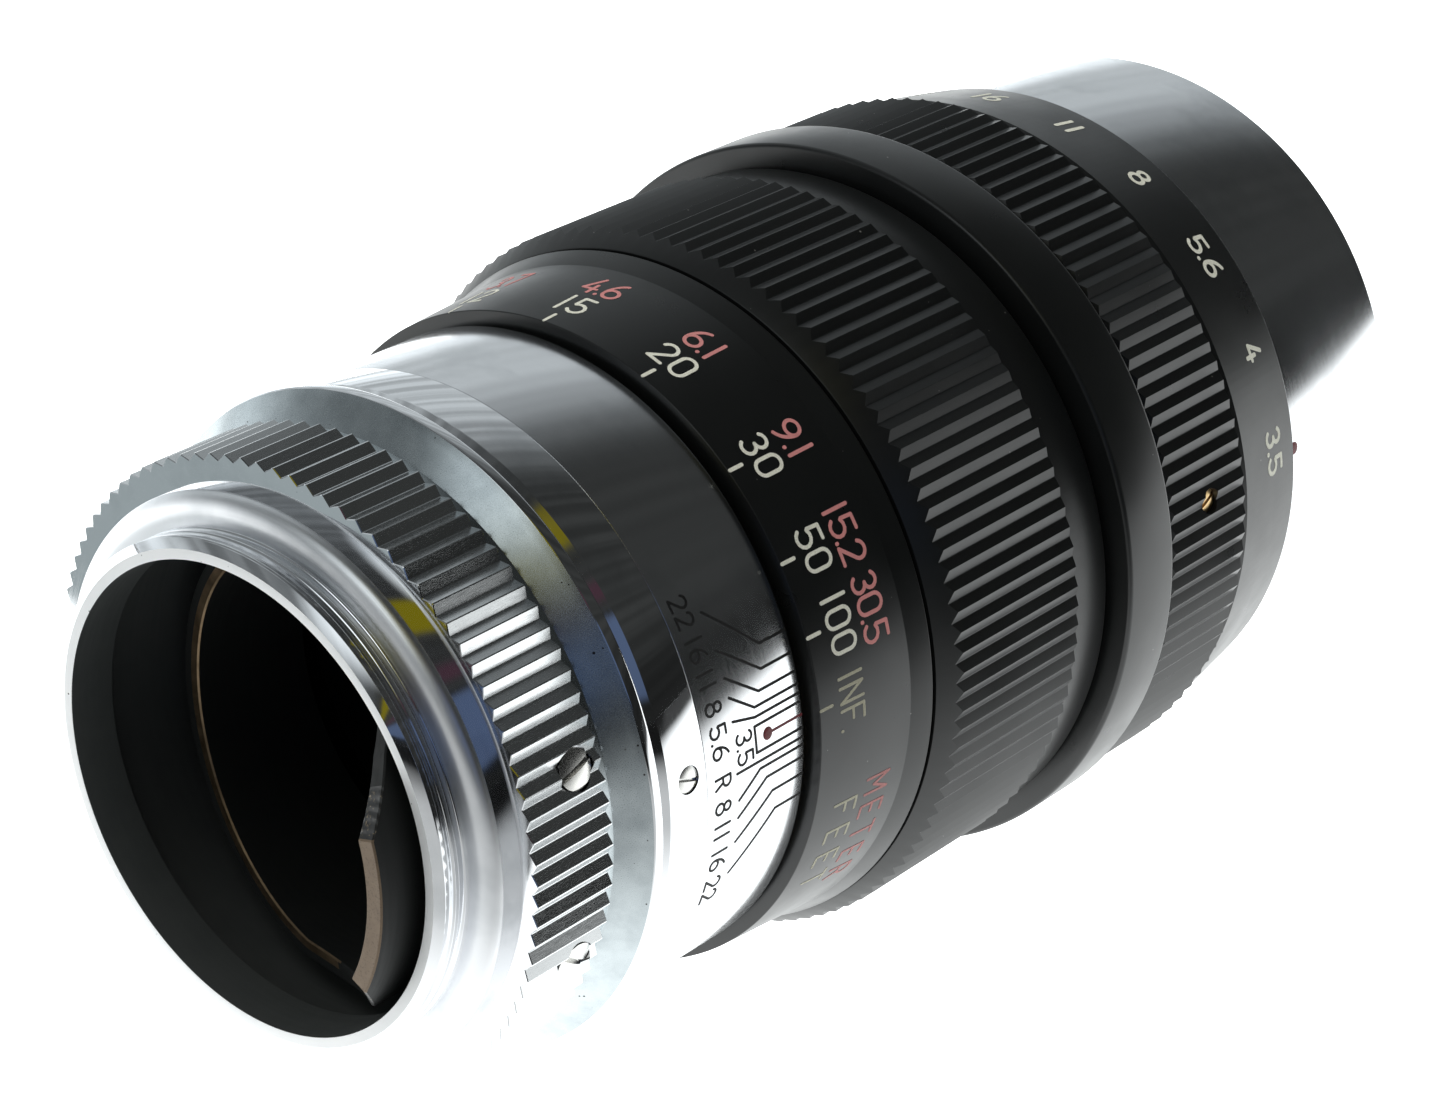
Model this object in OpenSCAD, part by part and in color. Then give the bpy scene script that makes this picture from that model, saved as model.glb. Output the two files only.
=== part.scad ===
// Tele prime lens for a rangefinder camera, with a screw mount.
// Built along +Z from the flange seat (front of the lens is +Z), then laid on its side by lie():
// the front of the lens points to -Y, the mount to +Y, and the origin is the centre of the flange seat.
// Angles are measured around the lens from the focusing index, growing clockwise as seen from the mount.

/* [Mount] */
// Outside radius of the camera mounting thread
thread_radius = 19.5; // [19.3:0.1:19.7]
// Distance from the rear rim to the flange seat
thread_length = 2.6; // [2.4:0.1:3]
// Radius of the rear opening
rear_opening_radius = 18; // [17.9:0.1:18.1]
// Radius of the rounded shoulder in front of the seat
shoulder_radius = 21.9; // [21.7:0.1:22.1]

/* [Chrome grip ring] */
// Radius over the serrations
grip_radius = 24.25; // [24.1:0.05:24.4]
// Number of serrations
grip_teeth = 94; // [80:1:110]
// Depth of the serrations
grip_tooth_depth = 0.85; // [0.6:0.05:1]

/* [Barrel] */
// Radius of the chrome barrel
barrel_radius = 25.3; // [25.2:0.05:25.4]
// Radius of the raised rim behind the barrel
rim_radius = 25.8; // [25.6:0.05:25.9]
// Front end of the chrome barrel
barrel_end = 28.7; // [28.5:0.1:28.8]

/* [Focusing] */
// Rear radius of the distance ring
scale_radius = 26.25; // [26.2:0.05:26.4]
// Radius over the knurling of the focusing grip
focus_grip_radius = 28.9; // [28.7:0.05:29.1]
// Number of ridges on the focusing grip
focus_ridges = 113; // [100:1:120]
// Turn of the focusing ring from infinity to its nearest stop, in degrees
focus_turn = 267; // [260:1:270]
// Straight travel of the lens unit over that turn
focus_travel = 13.12; // [12:0.01:13.2]

/* [Front unit] */
// Radius of the smooth cover ring
cover_radius = 30.1; // [30:0.05:30.3]
// Radius over the knurling of the aperture ring
aperture_grip_radius = 29.6; // [29.4:0.05:29.7]
// Number of ridges on the aperture ring
aperture_ridges = 115; // [100:1:120]
// Radius of the chrome front barrel
front_radius = 26.6; // [26.4:0.05:26.8]
// Front end of the lens, from the flange seat
front_end = 105.2; // [105:0.1:105.6]
// Wall radius of the filter thread
filter_radius = 24; // [23.9:0.05:24]

/* [Iris] */
// Radius of the full opening
iris_open_radius = 13.6; // [13.4:0.1:13.8]
// Turn of the aperture ring from wide open to its smallest stop, in degrees
aperture_turn = 100; // [95:1:100]
// Swing of each blade over that turn, in degrees
blade_swing = 33.9; // [32:0.1:33.9]

/* [Hidden] */
$fn = 96;
cut = 1;                                // how far cutting tools run past a face
index_angle = 173;                      // where the focusing index sits as the lens lies on its side

// Camera mount and grip ring
rim_chamfer = 0.35;
rim_face_radius = thread_radius - 0.7;
seat_radius = 20.7;
shoulder_start = 1;
grip_start = 1.84;
grip_end = 9.4;
grip_bore = 20.8;
wide_bore = 19.85;                      // bore in front of the rear opening, where the keys are seated
wide_bore_start = 2.2;
mount_end = 12.6;
grip_screw_angles = [-9.8, 27.5];
grip_screw_slots = [-16, 35];
grip_screw_height = 7.1;
grip_screw_head = 1.5;
grip_screw_shank = 0.75;
grip_screw_length = 4.6;
grip_screw_sunk = 0.9;                  // height of the screw heads, which sit among the serrations
hole_gap = 0.05;                        // radial gap between a screw's shank and its hole

// Collar and barrel
neck_radius = 23.5;
neck_end = 10.2;
cone_radius = 25.2;
cone_end = 11.55;
rim_start = 12;
rim_end = 12.9;
groove_radius = 24.8;
groove_end = 13.5;
band_start = 14.1;
seam = 18;
collar_screw_height = 16.2;
collar_screw_angle = 0.3;
collar_screw_head = 1;
collar_screw_shank = 0.55;
barrel_edge = 0.4;

// Focusing mechanism
sleeve_bore = 22.1;
sleeve_radius = 24;
sleeve_start = 13;
sleeve_end = 41;
running = 0.05;                         // radial clearance of the running fits
clearance = 0.3;                        // gap between parts that only pass each other
ring_start = 29.3;
ring_cone_start = 38.9;
ring_end = 40.7;
ring_cone_radius = 26.9;
ring_front_radius = 27.64;
stop_height = 32;
stop_angle = 215;
stop_radius = 1;
stop_shank = 0.75;
stop_groove_depth = 1.4;
retainer_height = 36.5;
retainer_radius = 24.6;
retainer_thickness = 0.8;
retainer_groove = 0.5;                  // how deep the retaining ring sits in the sleeve
collar_start = 38;
collar_end = 45.2;
collar_radius = 26;
focus_grip_start = 41;
focus_knurl_start = 41.5;
focus_knurl_end = 57.4;
focus_grip_end = 59.9;
knurl_depth = 0.6;
focus_root_radius = focus_grip_radius - knurl_depth;
drive_screw_radius = 0.75;
drive_screw_height = 43.2;
drive_screw_length = 4.5;
helicoid_start = 13.6;
helicoid_end = 60;
helicoid_radius = 21.9;
helicoid_bore = 20.4;
tube_radius = helicoid_bore - running;

// Rangefinder coupling tube
coupler_radius = 17;
coupler_bore = 15.5;
coupler_tab_start = -5.7;
coupler_tab_angle = 13.5;
coupler_tab_half_width = 5.96;
coupler_ramp_half_width = 10.1;
coupler_ramp_start = -2.3;
coupler_side_start = 4.4;
coupler_far_start = 7.7;
coupler_flange_start = 14;
coupler_flange_end = 18;

// Keys that stop the lens tube and the coupling tube from turning
tube_start = 21;
key_width = 3;
key_bottom = 18.3;
key_start = 3;
lens_key_end = tube_start + focus_travel + 6;
coupler_key_end = 20.5;
key_angles = grip_screw_angles;         // each grip screw holds one key
slot_width = key_width + 2 * running;
slot_bottom = key_bottom - 0.2;

// Sliding lens tube and front unit
tube_bore = 17.4;
tube_slot_end = lens_key_end + 3;
tube_flange_start = 62.6;
tube_flange_end = 64.6;
skirt_radius = 25.7;
skirt_bore = 24.7;
skirt_start = focus_grip_end - focus_travel - 1.2;
housing_radius = 26.15;
housing_bore = 24.4;
nose_radius = 24.9;                     // stepped front of the housing that carries the front barrel
nose_end = 98;
cover_start = 62.34;
cover_end = 68.2;
cover_edge = 0.35;
aperture_start = 68.5;
aperture_knurl_start = 68.8;
aperture_knurl_end = 79.3;
aperture_root_radius = aperture_grip_radius - knurl_depth;
scale_start = 79.8;
scale_end = 88.6;
scale_start_radius = 29.2;
scale_end_radius = 27.9;
aperture_edge_radius = 27.5;
aperture_end = 89.1;
front_start = 89.3;
filter_start = 99.4;
front_chamfer = 0.4;

// Aperture screw that ties the aperture ring to the iris cam ring
aperture_screw_height = 74.4;
aperture_screw_angle = -2;
aperture_screw_radius = 1;

// Iris: each blade swings on a pin in the base plate, a second pin follows a slot in the cam ring
blade_count = 12;
blade_step = 360 / blade_count;
base_start = 68.4;
base_thickness = 1.2;
blade_level_start = base_start + base_thickness + 0.1;
blade_thickness = 0.12;
blade_level_step = 0.15;
cam_start = 71.7;
cam_thickness = 1.1;
cam_end = 76.4;
cam_radius = housing_bore - running;
cam_bore = 18;
blade_outer_radius = 18.5;
blade_tail_half_width = 0.55;
blade_span = 130;                       // how far round each blade reaches from its pivot
blade_heel_angle = 4;                   // and how far it reaches behind the pivot
pivot_circle = 19.6;
pivot_pin_radius = 0.4;
pivot_eye_radius = 1.4;
tail_length = 7;
tail_start_angle = 75;                  // between the tail and the line from pivot to axis, wide open
cam_pin_radius = 0.28;
cam_slot_half_width = 0.36;
cam_slot_steps = 24;

// Glass and its cells
front_glass_radius = 20.4;
front_glass_start = 90;
front_glass_edge = 3;
front_glass_curve = 58;
front_cell_bore = 19.7;
front_cell_start = 86;
front_retainer_radius = 21.6;
front_retainer_start = 93.2;
front_retainer_end = 94.6;
bezel_start = 95;
bezel_end = 99.2;
middle_glass_radius = 17;
middle_glass_start = 77.6;
middle_seam_edge = 82.6;
middle_seam_curve = 70;
middle_front_edge = 83.6;
middle_front_curve = 46;
middle_rear_curve = 50;
middle_cell_start = 77;
middle_cell_end = 85.6;
rear_glass_radius = 13;
rear_glass_start = 47;
rear_glass_edge = 2.2;
rear_glass_curve = 52;
rear_cell_start = 44;
rear_cell_end = 53;
rear_cell_bore = 12.4;
rear_retainer_radius = 14.2;

chrome_color = [0.8, 0.81, 0.83];
black_color = [0.06, 0.06, 0.07];
brass_color = [0.72, 0.56, 0.3];
steel_color = [0.6, 0.61, 0.63];
glass_color = [0.75, 0.82, 0.95, 0.4];

// ---- Helpers -------------------------------------------------------------------------------

// Turns the upright model onto its side
module lie() {
    rotate([90, 0, 0]) rotate([0, 0, index_angle]) children();
}

// A plain tube between two heights
module tube(outer, inner, from, to) {
    difference() {
        translate([0, 0, from]) cylinder(r = outer, h = to - from);
        translate([0, 0, from - cut]) cylinder(r = inner, h = to - from + 2 * cut);
    }
}

// A ring turned from an outline of [radius, height] points
module turned(outline) {
    rotate_extrude() polygon(outline);
}

// Puts children on the wall at an angle and height, their +Z pointing outwards
module on_wall(angle, height) {
    rotate([0, 0, angle]) translate([0, 0, height]) rotate([0, 90, 0]) children();
}

// Outline with straight ridges: land is the share of the pitch that each ridge top covers
function ridge_points(count, tip, root, land, floor) = [
    for (i = [0:count - 1])
        for (p = [[-land, tip], [land, tip], [1 - floor, root], [1 + floor, root]])
            let (a = (i + p[0] / 2) * 360 / count)
                [p[1] * cos(a), p[1] * sin(a)]
];

// The knurling shared by the two black rings
module knurl_outline(count, tip) {
    polygon(ridge_points(count, tip, tip - knurl_depth, 0.3, 0.1));
}

// A cheese-head screw standing on +Z with its slotted head at the top
module slotted_screw(head_radius, head_height, shank_radius, shank_length, slot_turn) {
    slot_width = head_radius * 0.28;
    slot_depth = head_height * 0.45;
    difference() {
        union() {
            translate([0, 0, -head_height]) cylinder(r = head_radius, h = head_height);
            translate([0, 0, -head_height - shank_length])
                cylinder(r = shank_radius, h = shank_length + 0.1);
        }
        rotate([0, 0, slot_turn])
            translate([-head_radius - cut, -slot_width / 2, -slot_depth])
                cube([2 * (head_radius + cut), slot_width, slot_depth + cut]);
    }
}

// A long slot along the lens, cut outwards from a given radius
module key_slot(angle, from, to) {
    rotate([0, 0, angle])
        translate([slot_bottom, -slot_width / 2, from])
            cube([helicoid_radius - slot_bottom, slot_width, to - from]);
}

// ---- Fixed parts at the camera end ---------------------------------------------------------

// Rear rim, thread (at its major diameter), flange seat, shoulder and the seat for the grip ring
module mount_ring() {
    color(chrome_color) lie() difference() {
        turned([
            [rear_opening_radius, -thread_length],
            [rim_face_radius, -thread_length],
            [thread_radius, -thread_length + rim_chamfer],
            [thread_radius, 0],
            [seat_radius, 0],
            [shoulder_radius - 0.35, 0.45],
            [shoulder_radius, shoulder_start],
            [shoulder_radius, grip_start],
            [grip_bore, grip_start],
            [grip_bore, mount_end],
            [wide_bore, mount_end],
            [wide_bore, wide_bore_start],
            [rear_opening_radius, wide_bore_start - 1]
        ]);
        grip_screw_holes();
    }
}

// Threaded holes for the two grip screws, through ring, mount and key
module grip_screw_holes() {
    for (a = grip_screw_angles)
        on_wall(a, grip_screw_height) cylinder(r = grip_screw_shank + hole_gap, h = grip_radius + cut);
}

module grip_ring() {
    color(chrome_color) lie() difference() {
        translate([0, 0, grip_start]) linear_extrude(grip_end - grip_start)
            polygon(ridge_points(grip_teeth, grip_radius, grip_radius - grip_tooth_depth, 0.06, 0.04));
        translate([0, 0, grip_start - cut]) cylinder(r = grip_bore, h = grip_end - grip_start + 2 * cut);
        for (a = grip_screw_angles)
            on_wall(a, grip_screw_height) {
                cylinder(r = grip_screw_shank + hole_gap, h = grip_radius + cut);
                translate([0, 0, grip_radius - 1]) cylinder(r = grip_screw_head + 2 * hole_gap, h = 1 + cut);
            }
    }
}

module grip_screws() {
    color(chrome_color) lie()
        for (i = [0:len(grip_screw_angles) - 1])
            on_wall(grip_screw_angles[i], grip_screw_height)
                translate([0, 0, grip_radius - 0.1])
                    slotted_screw(
                        grip_screw_head, grip_screw_sunk, grip_screw_shank, grip_screw_length,
                        grip_screw_slots[i]
                    );
}

// Neck, cone, raised rim and the rear band of the barrel in one turned part
module barrel_collar() {
    color(chrome_color) lie() difference() {
        turned([
            [grip_bore, grip_end],
            [neck_radius, grip_end],
            [neck_radius, neck_end],
            [cone_radius, cone_end],
            [rim_radius, rim_start],
            [rim_radius, rim_end],
            [groove_radius, rim_end + 0.1],
            [groove_radius, groove_end],
            [barrel_radius, band_start],
            [barrel_radius, seam - 0.08],
            [barrel_radius - 0.08, seam],
            [sleeve_radius, seam],
            [sleeve_radius, sleeve_start],
            [grip_bore, sleeve_start]
        ]);
        on_wall(collar_screw_angle, collar_screw_height) {
            cylinder(r = collar_screw_shank + hole_gap, h = barrel_radius + cut);
            translate([0, 0, barrel_radius - 0.8]) cylinder(r = collar_screw_head + hole_gap, h = 0.8 + cut);
        }
    }
}

module collar_screw() {
    color(chrome_color) lie()
        on_wall(collar_screw_angle, collar_screw_height)
            translate([0, 0, barrel_radius - 0.02])
                slotted_screw(collar_screw_head, 0.76, collar_screw_shank, 1.1, 18);
}

module scale_barrel() {
    color(chrome_color) lie() turned([
        [sleeve_radius, seam],
        [barrel_radius - 0.08, seam],
        [barrel_radius, seam + 0.08],
        [barrel_radius, barrel_end - barrel_edge],
        [barrel_radius - barrel_edge, barrel_end],
        [sleeve_radius, barrel_end]
    ]);
}

// Fixed inner sleeve: carries the barrel outside and lets the focusing ring turn on its front half
module guide_sleeve() {
    color(brass_color) lie() difference() {
        tube(sleeve_radius, sleeve_bore, sleeve_start, sleeve_end);
        tube(
            sleeve_radius + cut, sleeve_radius - retainer_groove,
            retainer_height - retainer_thickness / 2 - 0.1, retainer_height + retainer_thickness / 2 + 0.1
        );
        on_wall(stop_angle, stop_height) cylinder(r = stop_shank + hole_gap, h = sleeve_radius + cut);
        on_wall(collar_screw_angle, collar_screw_height)
            translate([0, 0, sleeve_radius - 0.6]) cylinder(r = collar_screw_shank + hole_gap, h = 2);
    }
}

module retaining_ring() {
    color(steel_color) lie()
        tube(
            retainer_radius, sleeve_radius - retainer_groove,
            retainer_height - retainer_thickness / 2, retainer_height + retainer_thickness / 2
        );
}

module stop_screw() {
    color(steel_color) lie()
        on_wall(stop_angle, stop_height) {
            translate([0, 0, sleeve_bore + 0.2]) cylinder(r = stop_shank, h = sleeve_radius - sleeve_bore);
            translate([0, 0, sleeve_radius]) cylinder(r = stop_radius, h = 1.1);
        }
}

// A straight key seated in the wide bore of the mount ring
module guide_key(angle, end) {
    rotate([0, 0, angle]) difference() {
        intersection() {
            translate([key_bottom, -key_width / 2, key_start])
                cube([wide_bore - key_bottom, key_width, end - key_start]);
            translate([0, 0, key_start]) cylinder(r = wide_bore - 0.02, h = end - key_start);
        }
        translate([0, 0, grip_screw_height])
            rotate([0, 90, 0]) cylinder(r = grip_screw_shank + hole_gap, h = grip_radius);
    }
}

module lens_key() {
    color(brass_color) lie() guide_key(key_angles[0], lens_key_end);
}

module coupler_key() {
    color(brass_color) lie() guide_key(key_angles[1], coupler_key_end);
}

// ---- Rangefinder coupling ------------------------------------------------------------------

// Side view of the tube's rear edge, seen along the tab: flat tab, two ramps, then the sides
module tab_outline() {
    side = coupler_radius + cut;
    middle = (coupler_radius + coupler_bore) / 2;
    polygon([
        [-side, coupler_flange_end + cut],
        [-side, coupler_side_start],
        [-middle, coupler_side_start],
        [-coupler_ramp_half_width, coupler_ramp_start],
        [-coupler_tab_half_width, coupler_tab_start],
        [coupler_tab_half_width, coupler_tab_start],
        [coupler_ramp_half_width, coupler_ramp_start],
        [middle, coupler_side_start],
        [side, coupler_side_start],
        [side, coupler_flange_end + cut]
    ]);
}

// The far side of the tube is cut off at a slant
module slant_outline() {
    side = coupler_radius + cut;
    polygon([
        [0, coupler_flange_end + cut],
        [0, coupler_side_start],
        [-side, coupler_far_start],
        [-side, coupler_flange_end + cut]
    ]);
}

module coupler_tube() {
    side = coupler_radius + cut;
    color(brass_color) lie() {
        intersection() {
            tube(coupler_radius, coupler_bore, coupler_tab_start, coupler_flange_end);
            rotate([0, 0, coupler_tab_angle]) union() {
                translate([side, 0, 0]) rotate([90, 0, -90]) linear_extrude(side) tab_outline();
                translate([0, side, 0]) rotate([90, 0, 0]) linear_extrude(2 * side) slant_outline();
            }
        }
        difference() {
            tube(tube_radius, coupler_radius - 0.1, coupler_flange_start, coupler_flange_end);
            for (a = key_angles)
                key_slot(a, coupler_flange_start - cut, coupler_flange_end + cut);
        }
    }
}

// ---- Focusing ring -------------------------------------------------------------------------

module distance_ring() {
    color(black_color) lie() difference() {
        turned([
            [sleeve_radius + running, ring_start],
            [scale_radius - 0.1, ring_start],
            [scale_radius, ring_start + 0.1],
            [ring_cone_radius, ring_cone_start],
            [ring_front_radius, ring_end],
            [collar_radius, ring_end],
            [collar_radius, collar_start],
            [sleeve_radius + running, collar_start]
        ]);
        // room for the retaining ring
        tube(
            retainer_radius + clearance, sleeve_radius - cut,
            retainer_height - retainer_thickness, retainer_height + retainer_thickness
        );
        // groove that the stop screw runs in; its ends are the two focusing stops
        rotate([0, 0, stop_angle - focus_turn - 4])
            rotate_extrude(angle = focus_turn + 8)
                translate([sleeve_radius - cut, stop_height - stop_radius - 0.15])
                    square([cut + stop_groove_depth, 2 * stop_radius + 0.3]);
    }
}

module focus_grip() {
    color(black_color) lie() difference() {
        union() {
            translate([0, 0, focus_knurl_start])
                linear_extrude(focus_knurl_end - focus_knurl_start)
                    knurl_outline(focus_ridges, focus_grip_radius);
            turned([
                [collar_radius - 1, focus_grip_start],
                [focus_root_radius - 0.5, focus_grip_start],
                [focus_root_radius, focus_knurl_start],
                [focus_root_radius, focus_grip_end - 0.3],
                [focus_root_radius - 0.3, focus_grip_end],
                [collar_radius - 1, focus_grip_end]
            ]);
        }
        translate([0, 0, focus_grip_start - cut])
            cylinder(r = collar_radius, h = focus_grip_end - focus_grip_start + 2 * cut);
    }
}

// Joins the distance ring, the grip and the helicoid so that they turn as one
module drive_collar() {
    color(brass_color) lie() difference() {
        turned([
            [helicoid_radius, sleeve_end + clearance],
            [sleeve_radius + 0.4, sleeve_end + clearance],
            [sleeve_radius + 0.4, collar_start],
            [collar_radius, collar_start],
            [collar_radius, collar_end],
            [helicoid_radius, collar_end]
        ]);
        drive_screw_holes();
    }
}

module drive_screw_holes() {
    for (i = [0:2])
        on_wall(60 + i * 120, drive_screw_height)
            translate([0, 0, helicoid_radius - 0.9])
                cylinder(r = drive_screw_radius + hole_gap, h = drive_screw_length + cut);
}

module drive_screws() {
    color(steel_color) lie()
        for (i = [0:2])
            on_wall(60 + i * 120, drive_screw_height)
                translate([0, 0, helicoid_radius - 0.7])
                    cylinder(r = drive_screw_radius, h = drive_screw_length);
}

module focus_helicoid() {
    color(brass_color) lie() difference() {
        tube(helicoid_radius, helicoid_bore, helicoid_start, helicoid_end);
        drive_screw_holes();
    }
}

// ---- Sliding lens unit ---------------------------------------------------------------------

module lens_tube() {
    color(black_color) lie() difference() {
        turned([
            [tube_bore, tube_start],
            [tube_radius, tube_start],
            [tube_radius, tube_flange_start],
            [housing_bore, tube_flange_start],
            [housing_bore, tube_flange_end],
            [tube_bore, tube_flange_end]
        ]);
        key_slot(key_angles[0], tube_start - cut, tube_slot_end);
    }
}

// Closes the gap behind the front unit at close focus
module rear_skirt() {
    color(black_color) lie() turned([
        [skirt_bore, skirt_start],
        [skirt_radius, skirt_start],
        [skirt_radius, tube_flange_start],
        [skirt_bore, tube_flange_start]
    ]);
}

module front_housing() {
    color(black_color) lie() difference() {
        turned([
            [housing_bore, tube_flange_start],
            [housing_radius, tube_flange_start],
            [housing_radius, front_start],
            [nose_radius, front_start],
            [nose_radius, nose_end],
            [housing_bore, nose_end]
        ]);
        // slot that the aperture screw sweeps through
        rotate([0, 0, aperture_screw_angle - 4])
            rotate_extrude(angle = aperture_turn + 8)
                translate([housing_bore - cut, aperture_screw_height - aperture_screw_radius - 0.3])
                    square([housing_radius - housing_bore + 2 * cut, 2 * aperture_screw_radius + 0.6]);
    }
}

module cover_ring() {
    color(black_color) lie() turned([
        [housing_radius, cover_start],
        [cover_radius - cover_edge, cover_start],
        [cover_radius, cover_start + cover_edge],
        [cover_radius, cover_end - cover_edge],
        [cover_radius - cover_edge, cover_end],
        [housing_radius, cover_end]
    ]);
}

module front_barrel() {
    color(chrome_color) lie() turned([
        [nose_radius, front_start],
        [front_radius - 0.3, front_start],
        [front_radius, front_start + 0.3],
        [front_radius, front_end - front_chamfer],
        [front_radius - front_chamfer, front_end],
        [filter_radius + front_chamfer, front_end],
        [filter_radius, front_end - front_chamfer],
        [filter_radius, filter_start],
        [nose_radius, filter_start]
    ]);
}

// ---- Aperture ring and iris ----------------------------------------------------------------

module aperture_ring() {
    color(black_color) lie() difference() {
        union() {
            translate([0, 0, aperture_knurl_start])
                linear_extrude(aperture_knurl_end - aperture_knurl_start)
                    knurl_outline(aperture_ridges, aperture_grip_radius);
            turned([
                [housing_radius - 1, aperture_start],
                [aperture_root_radius - 0.2, aperture_start],
                [aperture_root_radius, aperture_knurl_start],
                [aperture_root_radius, aperture_knurl_end],
                [scale_start_radius, scale_start],
                [scale_end_radius, scale_end],
                [aperture_edge_radius, aperture_end],
                [housing_radius - 1, aperture_end]
            ]);
        }
        translate([0, 0, aperture_start - cut])
            cylinder(r = housing_radius + running, h = aperture_end - aperture_start + 2 * cut);
        on_wall(aperture_screw_angle, aperture_screw_height)
            cylinder(r = aperture_screw_radius, h = aperture_grip_radius + cut);
    }
}

// Brass screw through the aperture ring, reaching the cam ring through the slot in the housing
module aperture_screw() {
    length = aperture_root_radius - cam_radius + 0.6;
    color(brass_color) lie()
        on_wall(aperture_screw_angle, aperture_screw_height)
            translate([0, 0, aperture_root_radius + 0.1])
                slotted_screw(aperture_screw_radius, 1, aperture_screw_radius - 0.1, length - 0.9, -24);
}

// Where the cam pin of a blade is after the blade has swung: [distance from the axis, angle]
function cam_pin(swing) =
    let (
        a = tail_start_angle + swing,
        x = pivot_circle - tail_length * cos(a),
        y = -tail_length * sin(a)
    )
    [sqrt(x * x + y * y), atan2(y, x)];

// One slot of the cam ring, in the plane of the ring, for the blade at angle 0
function cam_slot_points(side) = [
    for (i = [-1:cam_slot_steps + 1])
        let (
            share = i / cam_slot_steps,
            pin = cam_pin(share * blade_swing),
            angle = pin[1] - share * aperture_turn,
            radius = pin[0] + side * cam_slot_half_width
        )
        [radius * cos(angle), radius * sin(angle)]
];

function backwards(list) = [for (i = [len(list) - 1:-1:0]) list[i]];

module cam_ring() {
    color(brass_color) lie() difference() {
        union() {
            tube(cam_radius, cam_bore, cam_start, cam_start + cam_thickness);
            tube(cam_radius, cam_radius - 0.8, cam_start, cam_end);
        }
        for (i = [0:blade_count - 1])
            rotate([0, 0, i * blade_step])
                translate([0, 0, cam_start - cut]) linear_extrude(cam_thickness + 2 * cut)
                    polygon(concat(cam_slot_points(1), backwards(cam_slot_points(-1))));
        on_wall(aperture_screw_angle, aperture_screw_height)
            cylinder(r = aperture_screw_radius - 0.05, h = cam_radius + cut);
    }
}

module iris_base() {
    color(black_color) lie() difference() {
        tube(housing_bore, iris_open_radius, base_start, base_start + base_thickness);
        for (i = [0:blade_count - 1])
            rotate([0, 0, i * blade_step])
                translate([pivot_circle, 0, base_start - cut])
                    cylinder(r = pivot_pin_radius + running, h = base_thickness + 2 * cut);
    }
}

// A pie slice between two angles
module slice(from, to, reach) {
    polygon(concat([[0, 0]], [
        for (i = [0:4])
            let (a = from + (to - from) * i / 4)
                [reach * cos(a), reach * sin(a)]
    ]));
}

// Flat outline of a blade: a wide arc, the pivot eye and the tail that carries the cam pin
module blade_outline() {
    tail_angle = 180 + tail_start_angle;
    intersection() {
        difference() {
            circle(r = blade_outer_radius);
            circle(r = iris_open_radius + running);
        }
        slice(-blade_heel_angle, blade_span, 2 * blade_outer_radius);
    }
    translate([pivot_circle, 0]) {
        circle(r = pivot_eye_radius);
        rotate([0, 0, tail_angle]) {
            translate([0, -blade_tail_half_width]) square([tail_length, 2 * blade_tail_half_width]);
            translate([tail_length, 0]) circle(r = blade_tail_half_width);
        }
    }
}

module blade(number) {
    level = blade_level_start + number * blade_level_step;
    cam_pin_start = cam_pin(0);
    color(steel_color) lie() rotate([0, 0, number * blade_step]) {
        translate([0, 0, level]) linear_extrude(blade_thickness) blade_outline();
        translate([pivot_circle, 0, base_start + 0.1])
            cylinder(r = pivot_pin_radius, h = level - base_start);
        rotate([0, 0, cam_pin_start[1]])
            translate([cam_pin_start[0], 0, level])
                cylinder(r = cam_pin_radius, h = cam_start + cam_thickness - level);
    }
}

// ---- Glass and cells -----------------------------------------------------------------------

// A ball cap surface: a sphere whose top touches the given height on the axis
module ball_below(top, radius) {
    translate([0, 0, top - radius]) sphere(r = radius, $fn = 180);
}

// Height of a sphere's cap over a disc of the given radius
function cap(radius, disc) = radius - sqrt(radius * radius - disc * disc);

module front_glass() {
    top = front_glass_start + front_glass_edge + cap(front_glass_curve, front_glass_radius);
    color(glass_color) lie() intersection() {
        translate([0, 0, front_glass_start]) cylinder(r = front_glass_radius, h = 12);
        ball_below(top, front_glass_curve);
    }
}

module front_cell() {
    color(black_color) lie() difference() {
        tube(housing_bore, front_cell_bore, front_cell_start, nose_end);
        translate([0, 0, front_glass_start])
            cylinder(r = front_glass_radius, h = front_retainer_start - front_glass_start + cut);
        translate([0, 0, front_retainer_start])
            cylinder(r = front_retainer_radius, h = nose_end - front_retainer_start + cut);
    }
}

module front_retainer() {
    color(black_color) lie() turned([
        [front_glass_radius - 0.4, front_retainer_start],
        [front_retainer_radius, front_retainer_start],
        [front_retainer_radius, front_retainer_end],
        [front_glass_radius - 0.1, front_retainer_end]
    ]);
}

// Stepped black ring between the front glass and the filter thread
module bezel_ring() {
    color(black_color) lie() turned([
        [front_glass_radius + 0.1, bezel_start],
        [front_retainer_radius - 0.1, bezel_start],
        [front_retainer_radius - 0.1, nose_end + 0.05],
        [filter_radius - 0.1, nose_end + 0.05],
        [filter_radius - 0.1, bezel_end],
        [filter_radius - 0.7, bezel_end],
        [front_glass_radius + 0.5, nose_end + 0.3]
    ]);
}

module middle_glass_front() {
    seam_low = middle_seam_edge - cap(middle_seam_curve, middle_glass_radius);
    top = middle_front_edge + cap(middle_front_curve, middle_glass_radius);
    color(glass_color) lie() intersection() {
        translate([0, 0, seam_low - cut]) cylinder(r = middle_glass_radius, h = 12);
        ball_below(top, middle_front_curve);
        translate([0, 0, seam_low + middle_seam_curve]) sphere(r = middle_seam_curve, $fn = 180);
    }
}

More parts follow.
